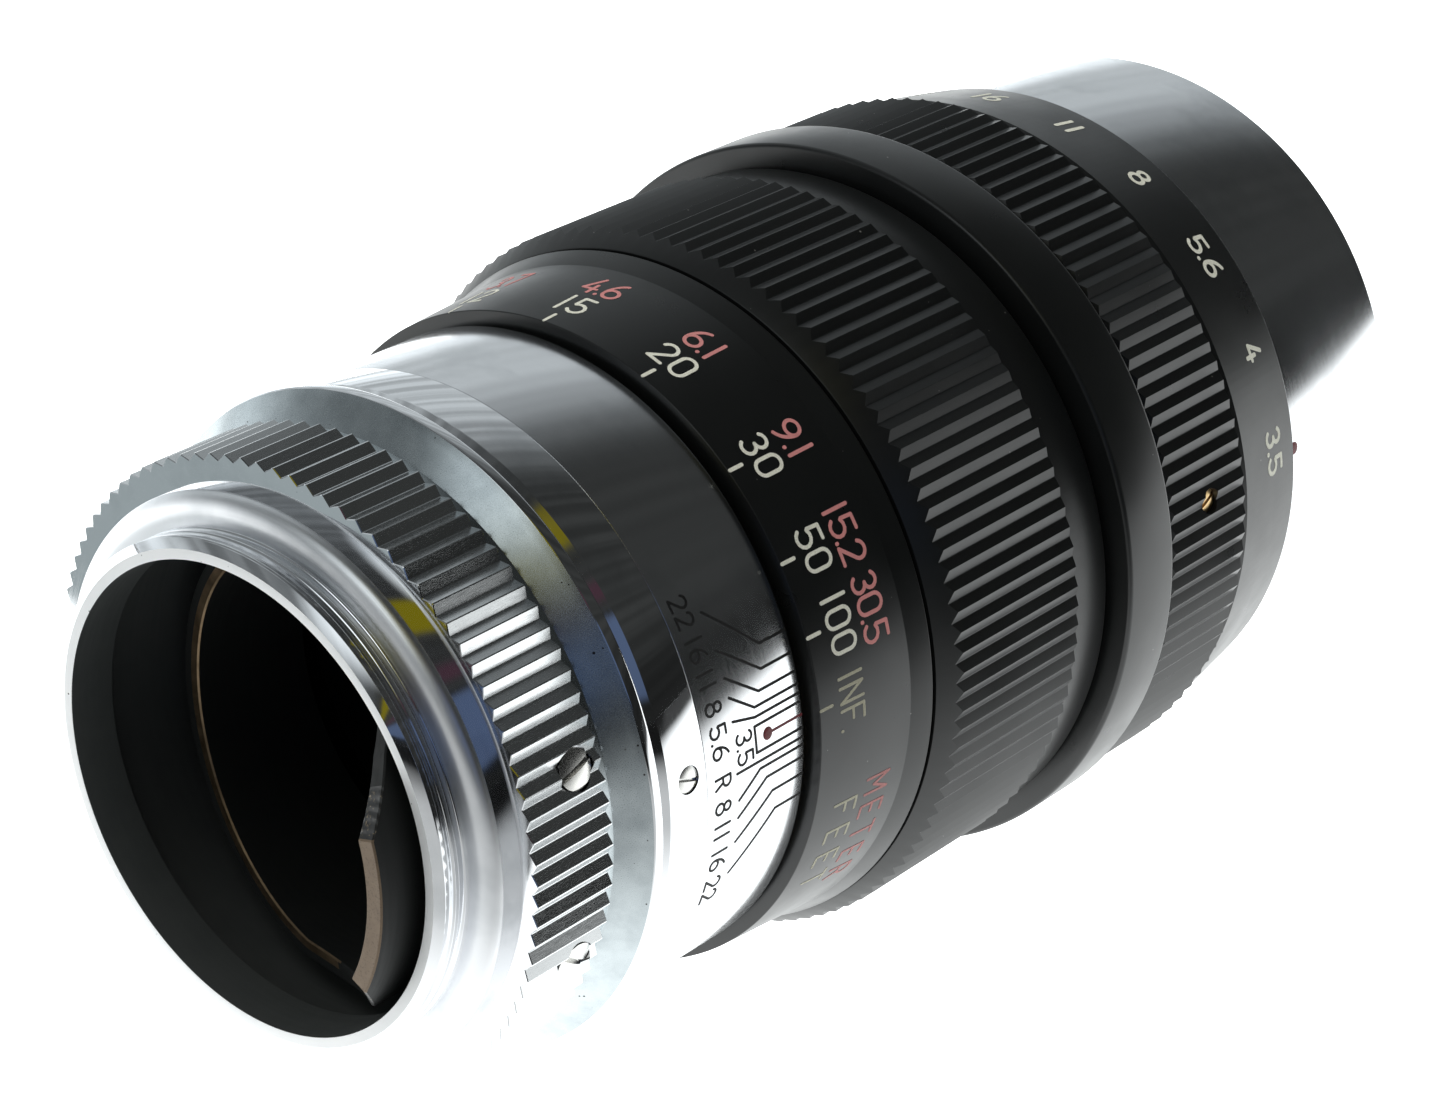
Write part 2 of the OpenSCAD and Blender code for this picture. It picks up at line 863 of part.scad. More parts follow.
module middle_glass_rear() {
    seam_low = middle_seam_edge - cap(middle_seam_curve, middle_glass_radius);
    hollow_top = middle_glass_start + cap(middle_rear_curve, 13);
    color(glass_color) lie() difference() {
        translate([0, 0, middle_glass_start])
            cylinder(r = middle_glass_radius, h = middle_seam_edge - middle_glass_start);
        ball_below(hollow_top, middle_rear_curve);
        translate([0, 0, seam_low + middle_seam_curve]) sphere(r = middle_seam_curve, $fn = 180);
    }
}

module middle_cell() {
    color(black_color) lie() difference() {
        tube(housing_bore, middle_glass_radius - 1, middle_cell_start, middle_cell_end);
        translate([0, 0, middle_glass_start]) cylinder(r = middle_glass_radius, h = 12);
        translate([0, 0, middle_front_edge + 0.1]) cylinder(r = middle_glass_radius + 1, h = 12);
    }
}

module middle_retainer() {
    color(black_color) lie() turned([
        [middle_glass_radius - 0.2, middle_front_edge + 0.1],
        [middle_glass_radius + 1, middle_front_edge + 0.1],
        [middle_glass_radius + 1, middle_cell_end - 0.3],
        [middle_glass_radius - 0.2, middle_cell_end - 0.3]
    ]);
}

module rear_glass() {
    top = rear_glass_start + rear_glass_edge + cap(rear_glass_curve, rear_glass_radius);
    color(glass_color) lie() intersection() {
        translate([0, 0, rear_glass_start]) cylinder(r = rear_glass_radius, h = 8);
        ball_below(top, rear_glass_curve);
    }
}

module rear_cell() {
    color(black_color) lie() difference() {
        tube(tube_bore, rear_cell_bore, rear_cell_start, rear_cell_end);
        translate([0, 0, rear_glass_start]) cylinder(r = rear_glass_radius, h = 8);
        translate([0, 0, rear_glass_start + rear_glass_edge]) cylinder(r = rear_retainer_radius, h = 8);
    }
}

module rear_retainer() {
    start = rear_glass_start + rear_glass_edge + 0.1;
    color(black_color) lie() turned([
        [rear_glass_radius - 0.2, start],
        [rear_retainer_radius, start],
        [rear_retainer_radius, start + 1.4],
        [rear_glass_radius + 0.2, start + 1.4]
    ]);
}

// ---- Drawing -------------------------------------------------------------------------------

mount_ring();
grip_ring();
grip_screws();
barrel_collar();
collar_screw();
scale_barrel();
guide_sleeve();
retaining_ring();
stop_screw();
lens_key();
coupler_key();
coupler_tube();
distance_ring();
focus_grip();
drive_collar();
drive_screws();
focus_helicoid();
lens_tube();
rear_skirt();
front_housing();
cover_ring();
iris_base();
front_barrel();
front_cell();
front_glass();
front_retainer();
bezel_ring();
middle_cell();
middle_glass_front();
middle_glass_rear();
middle_retainer();
rear_cell();
rear_glass();
rear_retainer();
aperture_ring();
aperture_screw();
cam_ring();
blade(0);  // blade_01
blade(1);  // blade_02
blade(2);  // blade_03
blade(3);  // blade_04
blade(4);  // blade_05
blade(5);  // blade_06
blade(6);  // blade_07
blade(7);  // blade_08
blade(8);  // blade_09
blade(9);  // blade_10
blade(10);  // blade_11
blade(11);  // blade_12
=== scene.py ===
"""Looks of a screw-mount tele lens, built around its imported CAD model.

The lens lies on its side: its front points to -Y, its camera mount to +Y.
Shapes are described in millimetres by (radius, station): a station is the distance in front of
the flange seat, along the optical axis. Angles are degrees round the lens from the focusing
index, growing clockwise as seen from the mount.
"""

import math

import bmesh
import bpy
from mathutils import Matrix, Vector


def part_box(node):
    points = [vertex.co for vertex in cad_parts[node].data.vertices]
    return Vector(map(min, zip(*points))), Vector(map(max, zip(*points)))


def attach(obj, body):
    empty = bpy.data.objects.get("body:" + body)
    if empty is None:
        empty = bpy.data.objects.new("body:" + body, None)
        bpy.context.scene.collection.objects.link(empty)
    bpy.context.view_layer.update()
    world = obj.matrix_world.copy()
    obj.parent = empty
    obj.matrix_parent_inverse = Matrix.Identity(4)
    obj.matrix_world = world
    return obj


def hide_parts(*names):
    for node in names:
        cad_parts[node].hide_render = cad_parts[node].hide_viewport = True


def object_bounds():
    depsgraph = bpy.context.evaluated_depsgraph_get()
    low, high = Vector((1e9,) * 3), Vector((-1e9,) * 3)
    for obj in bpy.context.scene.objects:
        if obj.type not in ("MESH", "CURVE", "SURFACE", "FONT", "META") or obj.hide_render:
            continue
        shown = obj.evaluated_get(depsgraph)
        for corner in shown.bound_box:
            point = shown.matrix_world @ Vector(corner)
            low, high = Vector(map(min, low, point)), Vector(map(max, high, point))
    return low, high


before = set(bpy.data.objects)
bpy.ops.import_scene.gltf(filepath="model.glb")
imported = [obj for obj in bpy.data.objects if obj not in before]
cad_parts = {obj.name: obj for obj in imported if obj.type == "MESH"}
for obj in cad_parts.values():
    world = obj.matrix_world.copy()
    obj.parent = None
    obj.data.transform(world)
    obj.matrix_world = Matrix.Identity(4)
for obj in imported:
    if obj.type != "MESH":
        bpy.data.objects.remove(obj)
cad_low, cad_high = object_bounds()

MM = 0.001
INCH = 25.4
INDEX_ANGLE = 173.0  # where the focusing index sits, from +X towards +Z


# ---- Places on the lens ----------------------------------------------------------------------


def place(radius, angle, station):
    """Point of the shared frame, in metres, for a radius, an angle and a station."""
    turn = math.radians(INDEX_ANGLE + angle)
    return Vector((radius * math.cos(turn), -station, radius * math.sin(turn))) * MM


def even_angles(count):
    return [360 * i / count for i in range(count)]


class Span:
    """Where a CAD node begins and ends along the axis, and its outer radius, in millimetres."""

    def __init__(self, node):
        low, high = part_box(node)
        self.rear = -high.y / MM
        self.front = -low.y / MM
        self.radius = max(high.x, -low.x, high.z, -low.z) / MM


mount = Span("mount_ring")
grip = Span("grip_ring")
collar = Span("barrel_collar")
barrel = Span("scale_barrel")
scale = Span("distance_ring")
focus = Span("focus_grip")
cover = Span("cover_ring")
iris_ring = Span("aperture_ring")
nose = Span("front_barrel")
coupler = Span("coupler_tube")

# ---- Mesh helpers ----------------------------------------------------------------------------


def new_object(name, data):
    """An object of the scene made from a bmesh, which is used up."""
    mesh = bpy.data.meshes.new(name)
    data.to_mesh(mesh)
    data.free()
    made = bpy.data.objects.new(name, mesh)
    bpy.context.scene.collection.objects.link(made)
    return made


def finish_mesh(name, data, body, materials, stands_for=None, sharp=32):
    """Turns a bmesh into a piece: merged, facing outwards, sharp only at real edges."""
    bmesh.ops.remove_doubles(data, verts=data.verts, dist=2e-6)
    bmesh.ops.dissolve_degenerate(data, edges=data.edges, dist=1e-7)
    bmesh.ops.recalc_face_normals(data, faces=data.faces)
    piece = new_object(name, data)
    mesh = piece.data
    mesh.polygons.foreach_set("use_smooth", [True] * len(mesh.polygons))
    mesh.set_sharp_from_angle(angle=math.radians(sharp))
    for material in materials:
        mesh.materials.append(material)
    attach(piece, body)
    if stands_for:
        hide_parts(stands_for)
    return piece


def finish_node(node, data, body, materials, sharp=32):
    """Finishes a piece that stands for the CAD node it is named after."""
    return finish_mesh(f"{node}_finished", data, body, materials, node, sharp)


def rounded(outline, steps=4):
    """Rounds the corners of a closed outline of (radius, station) or (radius, station, fillet)."""
    made = []
    count = len(outline)
    for i, corner in enumerate(outline):
        fillet = corner[2] if len(corner) > 2 else 0
        here = Vector(corner[:2])
        if not fillet:
            made.append(tuple(here))
            continue
        to_last = (Vector(outline[i - 1][:2]) - here).normalized()
        to_next = (Vector(outline[(i + 1) % count][:2]) - here).normalized()
        half = math.acos(max(-1, min(1, to_last.dot(to_next)))) / 2
        reach = fillet / math.tan(half)
        centre = here + (to_last + to_next).normalized() * (fillet / math.sin(half))
        start = here + to_last * reach - centre
        sweep = start.angle_signed(here + to_next * reach - centre)
        for k in range(steps + 1):
            made.append(tuple(centre + Matrix.Rotation(-sweep * k / steps, 2) @ start))
    return made


def ring_mesh(columns, angles):
    """A bmesh through closed columns of (radius, station), one at each angle round the lens."""
    data = bmesh.new()
    grid = []
    for angle, column in zip(angles, columns):
        grid.append([data.verts.new(place(r, angle, s)) for r, s in column])
    rows = len(columns[0])
    for here, after in zip(grid, grid[1:] + grid[:1]):
        for j in range(rows):
            k = (j + 1) % rows
            data.faces.new((here[j], here[k], after[k], after[j]))
    return data


def spun(profile, segments, corner):
    """A bmesh spun from (radius, height) points, with flat ends or points where the radius is 0.

    corner(radius, share, height) gives a place; share runs from 0 to 1 round the axis.
    """
    data = bmesh.new()
    rings = []
    for radius, height in profile:
        count = segments if radius else 1
        rings.append([data.verts.new(corner(radius, k / count, height)) for k in range(count)])
    for first, second in zip(rings, rings[1:]):
        for k in range(segments):
            after = (k + 1) % segments
            around = ((first, k), (second, k), (second, after), (first, after))
            corners = [ring[i % len(ring)] for ring, i in around]
            data.faces.new(list(dict.fromkeys(corners)))
    for ring in (rings[0], rings[-1]):
        if len(ring) > 1:
            data.faces.new(ring)
    return data


def choose_materials(data, choose):
    """Sets each face's material number to what choose(radius, station) says of its middle."""
    for face in data.faces:
        middle = face.calc_center_median()
        radius = math.hypot(middle.x, middle.z) / MM
        face.material_index = int(choose(radius, -middle.y / MM))


def turned(node, outline, body, materials, segments=360, choose=None):
    """A ring turned from a closed outline, in place of a CAD node."""
    data = ring_mesh([rounded(outline)] * segments, even_angles(segments))
    if choose:
        choose_materials(data, choose)
    return finish_node(node, data, body, materials)


def cut_away(piece, cutters, sharp=32):
    """Subtracts the cutters from a piece and deletes them."""
    for cutter in cutters:
        modifier = piece.modifiers.new("cut", "BOOLEAN")
        modifier.operation = "DIFFERENCE"
        modifier.solver = "EXACT"
        modifier.object = cutter
    evaluated = piece.evaluated_get(bpy.context.evaluated_depsgraph_get())
    mesh = bpy.data.meshes.new_from_object(evaluated)
    piece.modifiers.clear()
    piece.data = mesh
    mesh.set_sharp_from_angle(angle=math.radians(sharp))
    for cutter in cutters:
        bpy.data.objects.remove(cutter)
    return piece


def radial_matrix(radius, angle, station, twist=0.0):
    """A frame on the wall: Z outwards, X towards the mount turned by twist, in metres."""
    outwards = (place(1, angle, 0) - place(0, angle, 0)).normalized()
    rearwards = Vector((0, 1, 0))
    sideways = outwards.cross(rearwards)
    turn = math.radians(twist)
    along = rearwards * math.cos(turn) + sideways * math.sin(turn)
    across = outwards.cross(along)
    matrix = Matrix((along, across, outwards)).transposed().to_4x4()
    matrix.translation = place(radius, angle, station)
    return matrix


def drill(radius, depth, matrix):
    """A round cutter that starts above the wall and sinks into it by a depth."""
    above = 1.0
    data = bmesh.new()
    bmesh.ops.create_cone(
        data, cap_ends=True, segments=48, radius1=radius * MM, radius2=radius * MM,
        depth=(depth + above) * MM,
        matrix=matrix @ Matrix.Translation((0, 0, (above - depth) / 2 * MM)),
    )
    return new_object("cutter", data)


# ---- Node helpers ----------------------------------------------------------------------------


class Nodes:
    """The nodes of a new material, or of a world, with short calls for what they share."""

    def __init__(self, owner):
        if isinstance(owner, str):
            owner = bpy.data.materials.new(owner)
        owner.use_nodes = True
        self.owner = owner
        self.tree = owner.node_tree
        self.shader = self.tree.nodes.get("Principled BSDF")
        self.millimetres = None

    def node(self, kind, **settings):
        made = self.tree.nodes.new(kind)
        for key, value in settings.items():
            setattr(made, key, value)
        return made

    def link(self, source, target):
        self.tree.links.new(source, target)

    def feed(self, target, value):
        """Links a socket to another, or sets it to a plain value."""
        if hasattr(value, "is_output"):
            self.link(value, target)
        else:
            target.default_value = value

    def math(self, operation, a, b=0.0):
        made = self.node("ShaderNodeMath", operation=operation)
        self.feed(made.inputs[0], a)
        self.feed(made.inputs[1], b)
        return made.outputs[0]

    def length(self, a, b):
        squares = self.math("ADD", self.math("MULTIPLY", a, a), self.math("MULTIPLY", b, b))
        return self.math("SQRT", squares)

    def between(self, value, low, high, new_low=0.0, new_high=1.0, manner="LINEAR"):
        """Stretches a value from one range onto another, without overshoot."""
        made = self.node("ShaderNodeMapRange", clamp=True, interpolation_type=manner)
        for socket, setting in zip(made.inputs, (value, low, high, new_low, new_high)):
            self.feed(socket, setting)
        return made.outputs[0]

    def ease(self, value, low, high, new_low=0.0, new_high=1.0):
        """Like between, but it leaves and arrives smoothly."""
        return self.between(value, low, high, new_low, new_high, "SMOOTHSTEP")

    def blend(self, amount, first, second):
        """A colour between two others."""
        made = self.node("ShaderNodeMix", data_type="RGBA")
        self.feed(made.inputs["Factor"], amount)
        self.feed(made.inputs[6], first)
        self.feed(made.inputs[7], second)
        return made.outputs[2]

    def coordinates(self, kind):
        return self.node("ShaderNodeTexCoord").outputs[kind]

    def split(self, vector):
        made = self.node("ShaderNodeSeparateXYZ")
        self.link(vector, made.inputs[0])
        return made.outputs

    def scaled(self, vector, factor):
        made = self.node("ShaderNodeVectorMath", operation="SCALE")
        self.link(vector, made.inputs[0])
        self.feed(made.inputs["Scale"], factor)
        return made.outputs[0]

    def along(self, vector, direction):
        """How far a vector reaches in a direction."""
        made = self.node("ShaderNodeVectorMath", operation="DOT_PRODUCT")
        self.link(vector, made.inputs[0])
        made.inputs[1].default_value = direction
        return made.outputs["Value"]

    def position(self):
        """x, y and z of the surface in millimetres, fixed to the piece."""
        if self.millimetres is None:
            self.millimetres = self.scaled(self.coordinates("Object"), 1 / MM)
        return self.millimetres

    def polar(self):
        """Radius, station and the two direction parts round the axis, in millimetres."""
        x, y, z = self.split(self.position())
        radius = self.length(x, z)
        station = self.math("MULTIPLY", y, -1.0)
        return radius, station, self.math("DIVIDE", x, radius), self.math("DIVIDE", z, radius)

    def noise(self, size, detail=4.0, position=None):
        """Cloudy noise whose features are about size millimetres across."""
        made = self.node("ShaderNodeTexNoise")
        self.link(position or self.position(), made.inputs["Vector"])
        made.inputs["Scale"].default_value = 1 / size
        made.inputs["Detail"].default_value = detail
        made.inputs["Roughness"].default_value = 0.6
        return made.outputs[0]

    def turning_marks(self, pitch, around):
        """Fine rings left by a lathe: quick across the rings, slow around them."""
        radius, station, side, height = self.polar()
        vector = self.node("ShaderNodeCombineXYZ")
        self.link(self.math("MULTIPLY", side, around), vector.inputs[0])
        self.link(self.math("MULTIPLY", height, around), vector.inputs[1])
        self.link(self.math("DIVIDE", station, pitch), vector.inputs[2])
        made = self.node("ShaderNodeTexNoise", noise_dimensions="4D")
        self.link(vector.outputs[0], made.inputs["Vector"])
        self.link(self.math("DIVIDE", radius, pitch), made.inputs["W"])
        made.inputs["Scale"].default_value = 1.0
        made.inputs["Detail"].default_value = 3.0
        return made.outputs[0]

    def specks(self, spacing, size):
        """1 on sparse dots of dust or pits, 0 elsewhere."""
        made = self.node("ShaderNodeTexVoronoi", feature="F1")
        self.link(self.position(), made.inputs["Vector"])
        made.inputs["Scale"].default_value = 1 / spacing
        made.inputs["Randomness"].default_value = 1.0
        sizes = self.between(self.noise(spacing * 3, 1.0), 0.45, 0.75, 0.0, size / spacing)
        return self.math("LESS_THAN", made.outputs["Distance"], sizes)

    def bump(self, height, distance, strength):
        """A bump of a height in millimetres."""
        made = self.node("ShaderNodeBump")
        self.link(height, made.inputs["Height"])
        made.inputs["Distance"].default_value = distance * MM
        made.inputs["Strength"].default_value = strength
        return made.outputs[0]

    def finish(self, color, roughness, metallic=0.0, normal=None, **uniform):
        """Feeds the shader. Uniform values are set on the shader's own sockets."""
        self.feed(self.shader.inputs["Base Color"], color)
        self.feed(self.shader.inputs["Roughness"], roughness)
        self.feed(self.shader.inputs["Metallic"], metallic)
        if normal is not None:
            self.link(normal, self.shader.inputs["Normal"])
        for name, value in uniform.items():
            self.shader.inputs[name.replace("_", " ")].default_value = value
        return self.owner


# ---- Materials -------------------------------------------------------------------------------

CHROME_COLOR = (0.86, 0.87, 0.89, 1)
CHROME_DULL = (0.62, 0.64, 0.66, 1)
MILLED_COLOR = (0.82, 0.84, 0.85, 1)
BRASS_COLOR = (0.72, 0.52, 0.27, 1)
BLACK_COLOR = (0.0055, 0.006, 0.006, 1)
DIRT_COLOR = (0.05, 0.045, 0.04, 1)
DUST_COLOR = (0.16, 0.16, 0.15, 1)
CREAM_COLOR = (0.8, 0.8, 0.7, 1)
RED_COLOR = (0.66, 0.25, 0.24, 1)
MATT = 0.25  # specular level of paints that hardly shine
WORN_REACH = 0.2  # how far from a corner the paint is rubbed off


def chrome(name, smooth, brushed, marks, relief, dirt_size=0.10):
    """Plated brass: bright, with faint lathe rings, hazy patches and specks of dirt."""
    n = Nodes(name)
    rings = n.turning_marks(marks, 3.0)
    haze = n.noise(9.0)
    polish = n.between(rings, 0.35, 0.7, smooth, brushed)
    roughness = n.math("ADD", polish, n.between(haze, 0.45, 0.8, 0.0, 0.06))
    tone = n.blend(n.between(haze, 0.5, 0.85), CHROME_COLOR, CHROME_DULL)
    color = n.blend(n.specks(1.9, dirt_size), tone, DIRT_COLOR)
    return n.finish(color, roughness, 1.0, n.bump(rings, 0.004, relief))


def milled(name):
    """Plated flanks of cut teeth: cutter marks run along the axis."""
    n = Nodes(name)
    stretched = n.node("ShaderNodeMapping")
    n.link(n.position(), stretched.inputs["Vector"])
    stretched.inputs["Scale"].default_value = (1.0, 0.06, 1.0)
    marks = n.noise(0.06, 3.0, stretched.outputs[0])
    roughness = n.between(marks, 0.3, 0.7, 0.2, 0.3)
    tone = n.blend(n.between(n.noise(1.6), 0.6, 0.9), MILLED_COLOR, CHROME_DULL)
    color = n.blend(n.specks(1.3, 0.07), tone, DIRT_COLOR)
    return n.finish(color, roughness, 1.0, n.bump(marks, 0.008, 0.06))


def frosted(name, color, dull, rough, metallic=1.0):
    """Metal with a blasted surface: even, with tiny dark pits."""
    n = Nodes(name)
    grain = n.noise(0.08, 2.0)
    tone = n.blend(n.between(n.noise(4.0), 0.4, 0.8), color, dull)
    pitted = n.blend(n.specks(0.8, 0.10), tone, DIRT_COLOR)
    roughness = n.between(grain, 0.3, 0.7, rough, rough + 0.07)
    return n.finish(pitted, roughness, metallic, n.bump(grain, 0.003, 0.3))


def black_paint(name, shine=0.27, worn_corner=None):
    """Satin black enamel with dust, rubbed to metal near a corner at a radius and a station."""
    n = Nodes(name)
    roughness = n.between(n.noise(5.0), 0.3, 0.75, shine, shine + 0.09)
    color = n.blend(n.specks(1.5, 0.09), BLACK_COLOR, DUST_COLOR)
    metallic = 0.0
    if worn_corner:
        radius, station = n.polar()[:2]
        aside = n.math("SUBTRACT", radius, worn_corner[0])
        ahead = n.math("SUBTRACT", station, worn_corner[1])
        near = n.between(n.length(aside, ahead), 0.0, WORN_REACH, 1.0, 0.0)
        ragged = n.math("MULTIPLY", near, n.between(n.noise(1.3), 0.35, 0.6))
        metallic = n.between(ragged, 0.25, 0.5)
        color = n.blend(metallic, color, CHROME_DULL)
    normal = n.bump(n.noise(0.12, 2.0), 0.003, 0.35)
    return n.finish(color, roughness, metallic, normal, IOR=1.5)


def matt_black(name, tone, shine, relief):
    """Anti-reflection black inside the lens, over turned metal."""
    n = Nodes(name)
    marks = n.turning_marks(0.5, 2.0)
    color = n.blend(
        n.noise(3.0), (tone, tone * 1.1, tone * 1.1, 1), (tone * 1.4, tone * 1.5, tone * 1.45, 1)
    )
    roughness = n.between(marks, 0.3, 0.7, shine, shine + 0.12)
    return n.finish(color, roughness, 0.0, n.bump(marks, 0.02, relief), Specular_IOR_Level=MATT)


def turned_metal(name, color, dull, rings=0.25, shine=0.24):
    """Bare turned metal: brass, bronze or steel."""
    n = Nodes(name)
    marks = n.turning_marks(rings, 2.0)
    tone = n.blend(n.between(n.noise(2.2), 0.35, 0.7), color, dull)
    roughness = n.between(marks, 0.3, 0.7, shine, shine + 0.16)
    return n.finish(tone, roughness, 1.0, n.bump(marks, 0.01, 0.4))


def worn_brass(name):
    """Brown, tarnished brass where black paint has been machined off."""
    n = Nodes(name)
    flecks = n.between(n.noise(0.12), 0.56, 0.66, 0.0, 0.75)
    tone = n.blend(n.noise(0.9), (0.2, 0.145, 0.095, 1), (0.145, 0.1, 0.066, 1))
    color = n.blend(flecks, tone, (0.07, 0.05, 0.035, 1))
    roughness = n.between(n.noise(0.4), 0.3, 0.7, 0.38, 0.5)
    return n.finish(color, roughness, 0.45, n.bump(n.noise(0.15, 3.0), 0.012, 0.5))


def rough_black(name):
    """Black paint over a coarse file-cut surface."""
    n = Nodes(name)
    cuts = n.node("ShaderNodeTexWave", wave_type="BANDS", bands_direction="Y")
    n.link(n.position(), cuts.inputs["Vector"])
    cuts.inputs["Scale"].default_value = 0.7
    cuts.inputs["Distortion"].default_value = 2.5
    cuts.inputs["Detail"].default_value = 3.0
    glints = n.between(n.noise(0.3), 0.6, 0.72)
    color = n.blend(glints, (0.012, 0.012, 0.012, 1), (0.3, 0.23, 0.14, 1))
    return n.finish(color, 0.38, 0.0, n.bump(cuts.outputs[0], 0.08, 0.8))


def ink(name, color, faded, rough=0.6, wear=0.55):
    """Paint rubbed into an engraving: slightly grainy and uneven."""
    n = Nodes(name)
    grains = n.between(n.noise(0.09, 3.0), 0.35, 0.7)
    stain = n.between(n.noise(0.8), 0.5, 0.75)
    tone = n.blend(n.math("MULTIPLY", n.math("MAXIMUM", grains, stain), wear), color, faded)
    return n.finish(tone, rough, 0.0, n.bump(grains, 0.02, 0.5), Specular_IOR_Level=MATT)


def optical_glass(name, tint, film):
    """Clear glass with an anti-reflection coating whose thickness gives its colour."""
    n = Nodes(name)
    haze = n.between(n.noise(6.0), 0.55, 0.8, 0.0, 0.02)
    return n.finish(
        tint, haze, Transmission_Weight=1.0, IOR=1.6, Thin_Film_Thickness=film, Thin_Film_IOR=1.38
    )


def blued_steel(name):
    """Thin spring steel with a blue-black finish and fine rubbing marks."""
    n = Nodes(name)
    rubs = n.noise(0.5, 5.0)
    color = n.blend(rubs, (0.035, 0.038, 0.05, 1), (0.09, 0.09, 0.1, 1))
    return n.finish(color, n.between(rubs, 0.3, 0.7, 0.3, 0.5), 0.9, n.bump(rubs, 0.003, 0.3))


bright_chrome = chrome("bright_chrome", 0.04, 0.08, 0.10, 0.04)
brushed_chrome = chrome("brushed_chrome", 0.3, 0.4, 0.05, 0.12)
satin_chrome = chrome("satin_chrome", 0.14, 0.18, 0.12, 0.012, 0.06)
milled_chrome = milled("milled_chrome")
frosted_chrome = frosted("frosted_chrome", (0.56, 0.61, 0.63, 1), (0.36, 0.4, 0.42, 1), 0.22)
rim_white = frosted("rim_white", (0.97, 0.97, 0.97, 1), (0.9, 0.91, 0.91, 1), 0.5, 0.2)
screw_steel = frosted("screw_steel", (0.74, 0.73, 0.7, 1), (0.5, 0.5, 0.5, 1), 0.22)
inside_black = matt_black("inside_black", 0.011, 0.5, 0.5)
bore_black = matt_black("bore_black", 0.04, 0.62, 0.08)
plain_brass = turned_metal("plain_brass", BRASS_COLOR, (0.5, 0.35, 0.16, 1))
plain_steel = turned_metal("plain_steel", (0.6, 0.6, 0.61, 1), (0.4, 0.4, 0.41, 1))
dark_bronze = turned_metal("dark_bronze", (0.3, 0.215, 0.135, 1), (0.12, 0.085, 0.05, 1), 0.2, 0.4)
rubbed_brass = worn_brass("rubbed_brass")
filed_black = rough_black("filed_black")
cream_ink = ink("cream_ink", CREAM_COLOR, (0.42, 0.4, 0.3, 1))
faded_ink = ink("faded_ink", (0.46, 0.44, 0.33, 1), (0.2, 0.19, 0.14, 1), wear=0.8)
red_ink = ink("red_ink", RED_COLOR, (0.42, 0.2, 0.19, 1))
faded_red_ink = ink("faded_red_ink", (0.5, 0.2, 0.19, 1), (0.2, 0.09, 0.085, 1), wear=0.8)
black_ink = ink("black_ink", (0.005, 0.005, 0.005, 1), (0.014, 0.014, 0.014, 1))
index_red = ink("index_red", (0.15, 0.008, 0.015, 1), (0.06, 0.008, 0.012, 1), 0.35)
front_coating = optical_glass("front_coating", (0.95, 0.97, 1, 1), 125)
inner_coating = optical_glass("inner_coating", (0.95, 0.97, 0.98, 1), 160)
blade_finish = blued_steel("blade_finish")

# ---- Camera mount ----------------------------------------------------------------------------

THREAD_PITCH = INCH / 26
THREAD_DEPTH = 0.5
THREAD_ROWS = 120
SHOULDER_STEPS = 12
thread_radius = 19.5
bore_radius = 18.0
rim_land = 0.8
rim_slope = 0.4
seat_radius = thread_radius + 0.6
shoulder_length = 1.0
ring_bore = 20.8
key_bore = 19.85
key_bore_start = 2.2
bore_taper = 1.0


def thread_depth_at(turns, flank=0.36):
    """Share of the full depth at a point of the pitch: a rounded V with a flat crest."""
    from_root = abs(turns - math.floor(turns) - 0.5) * 2
    if from_root > 2 * flank:
        return 0.0
    return 0.5 + 0.5 * math.cos(math.pi * from_root / (2 * flank))


def thread_wall(start, end, crest, depth, pitch, rows, angle):
    """(radius, station) points of a threaded wall at one angle, running out at both ends."""
    points = []
    run_out = 0.3 * pitch
    for i in range(rows + 1):
        station = start + (end - start) * i / rows
        fade = min(1.0, (station - start) / run_out, (end - station) / run_out)
        turns = (station + pitch * angle / 360) / pitch
        points.append((crest - depth * fade * thread_depth_at(turns), station))
    return points


def mount_material(radius, station):
    """Black bore, white rim, brushed shoulder, and bright plating elsewhere."""
    if radius < bore_radius + 0.03 or (radius < ring_bore - 0.05 and station > 0.5):
        return 2
    if station < mount.rear + 0.02:
        return 3
    return 1 if radius > thread_radius + 0.1 and station < shoulder_length + 0.4 else 0


def build_mount_ring():
    """Flat rim, camera thread, flange seat and rounded shoulder."""
    thread_start = mount.rear + rim_slope
    rim = rounded(
        [
            (bore_radius, mount.rear, 0.08),
            (bore_radius + rim_land, mount.rear, 0.06),
            (thread_radius, thread_start),
            (bore_radius, thread_start),
        ]
    )[:-2]
    shoulder = []
    for step in range(SHOULDER_STEPS + 1):
        turn = math.pi / 2 * step / SHOULDER_STEPS
        radius = seat_radius + (mount.radius - seat_radius) * math.sin(turn)
        shoulder.append((radius, shoulder_length * (1 - math.cos(turn))))
    inside = [
        (mount.radius, grip.rear),
        (ring_bore, grip.rear),
        (ring_bore, mount.front),
        (key_bore, mount.front),
        (key_bore, key_bore_start),
        (bore_radius, key_bore_start - bore_taper),
    ]
    angles = even_angles(240)
    columns = []
    for angle in angles:
        wall = thread_wall(
            thread_start, 0, thread_radius, THREAD_DEPTH, THREAD_PITCH, THREAD_ROWS, angle
        )
        columns.append(rim + wall + shoulder + inside)
    data = ring_mesh(columns, angles)
    choose_materials(data, mount_material)
    materials = [bright_chrome, brushed_chrome, bore_black, rim_white]
    return finish_node("mount_ring", data, "mount_unit", materials)


# ---- Chrome grip ring and slotted screws -----------------------------------------------------

GRIP_TEETH = 94
grip_tooth_depth = 0.5
grip_screw_angles = (-9.8, 27.5)
grip_screw_slots = (16, -35)
grip_screw_station = 7.1
grip_screw_radius = 1.5
screw_play = 0.12


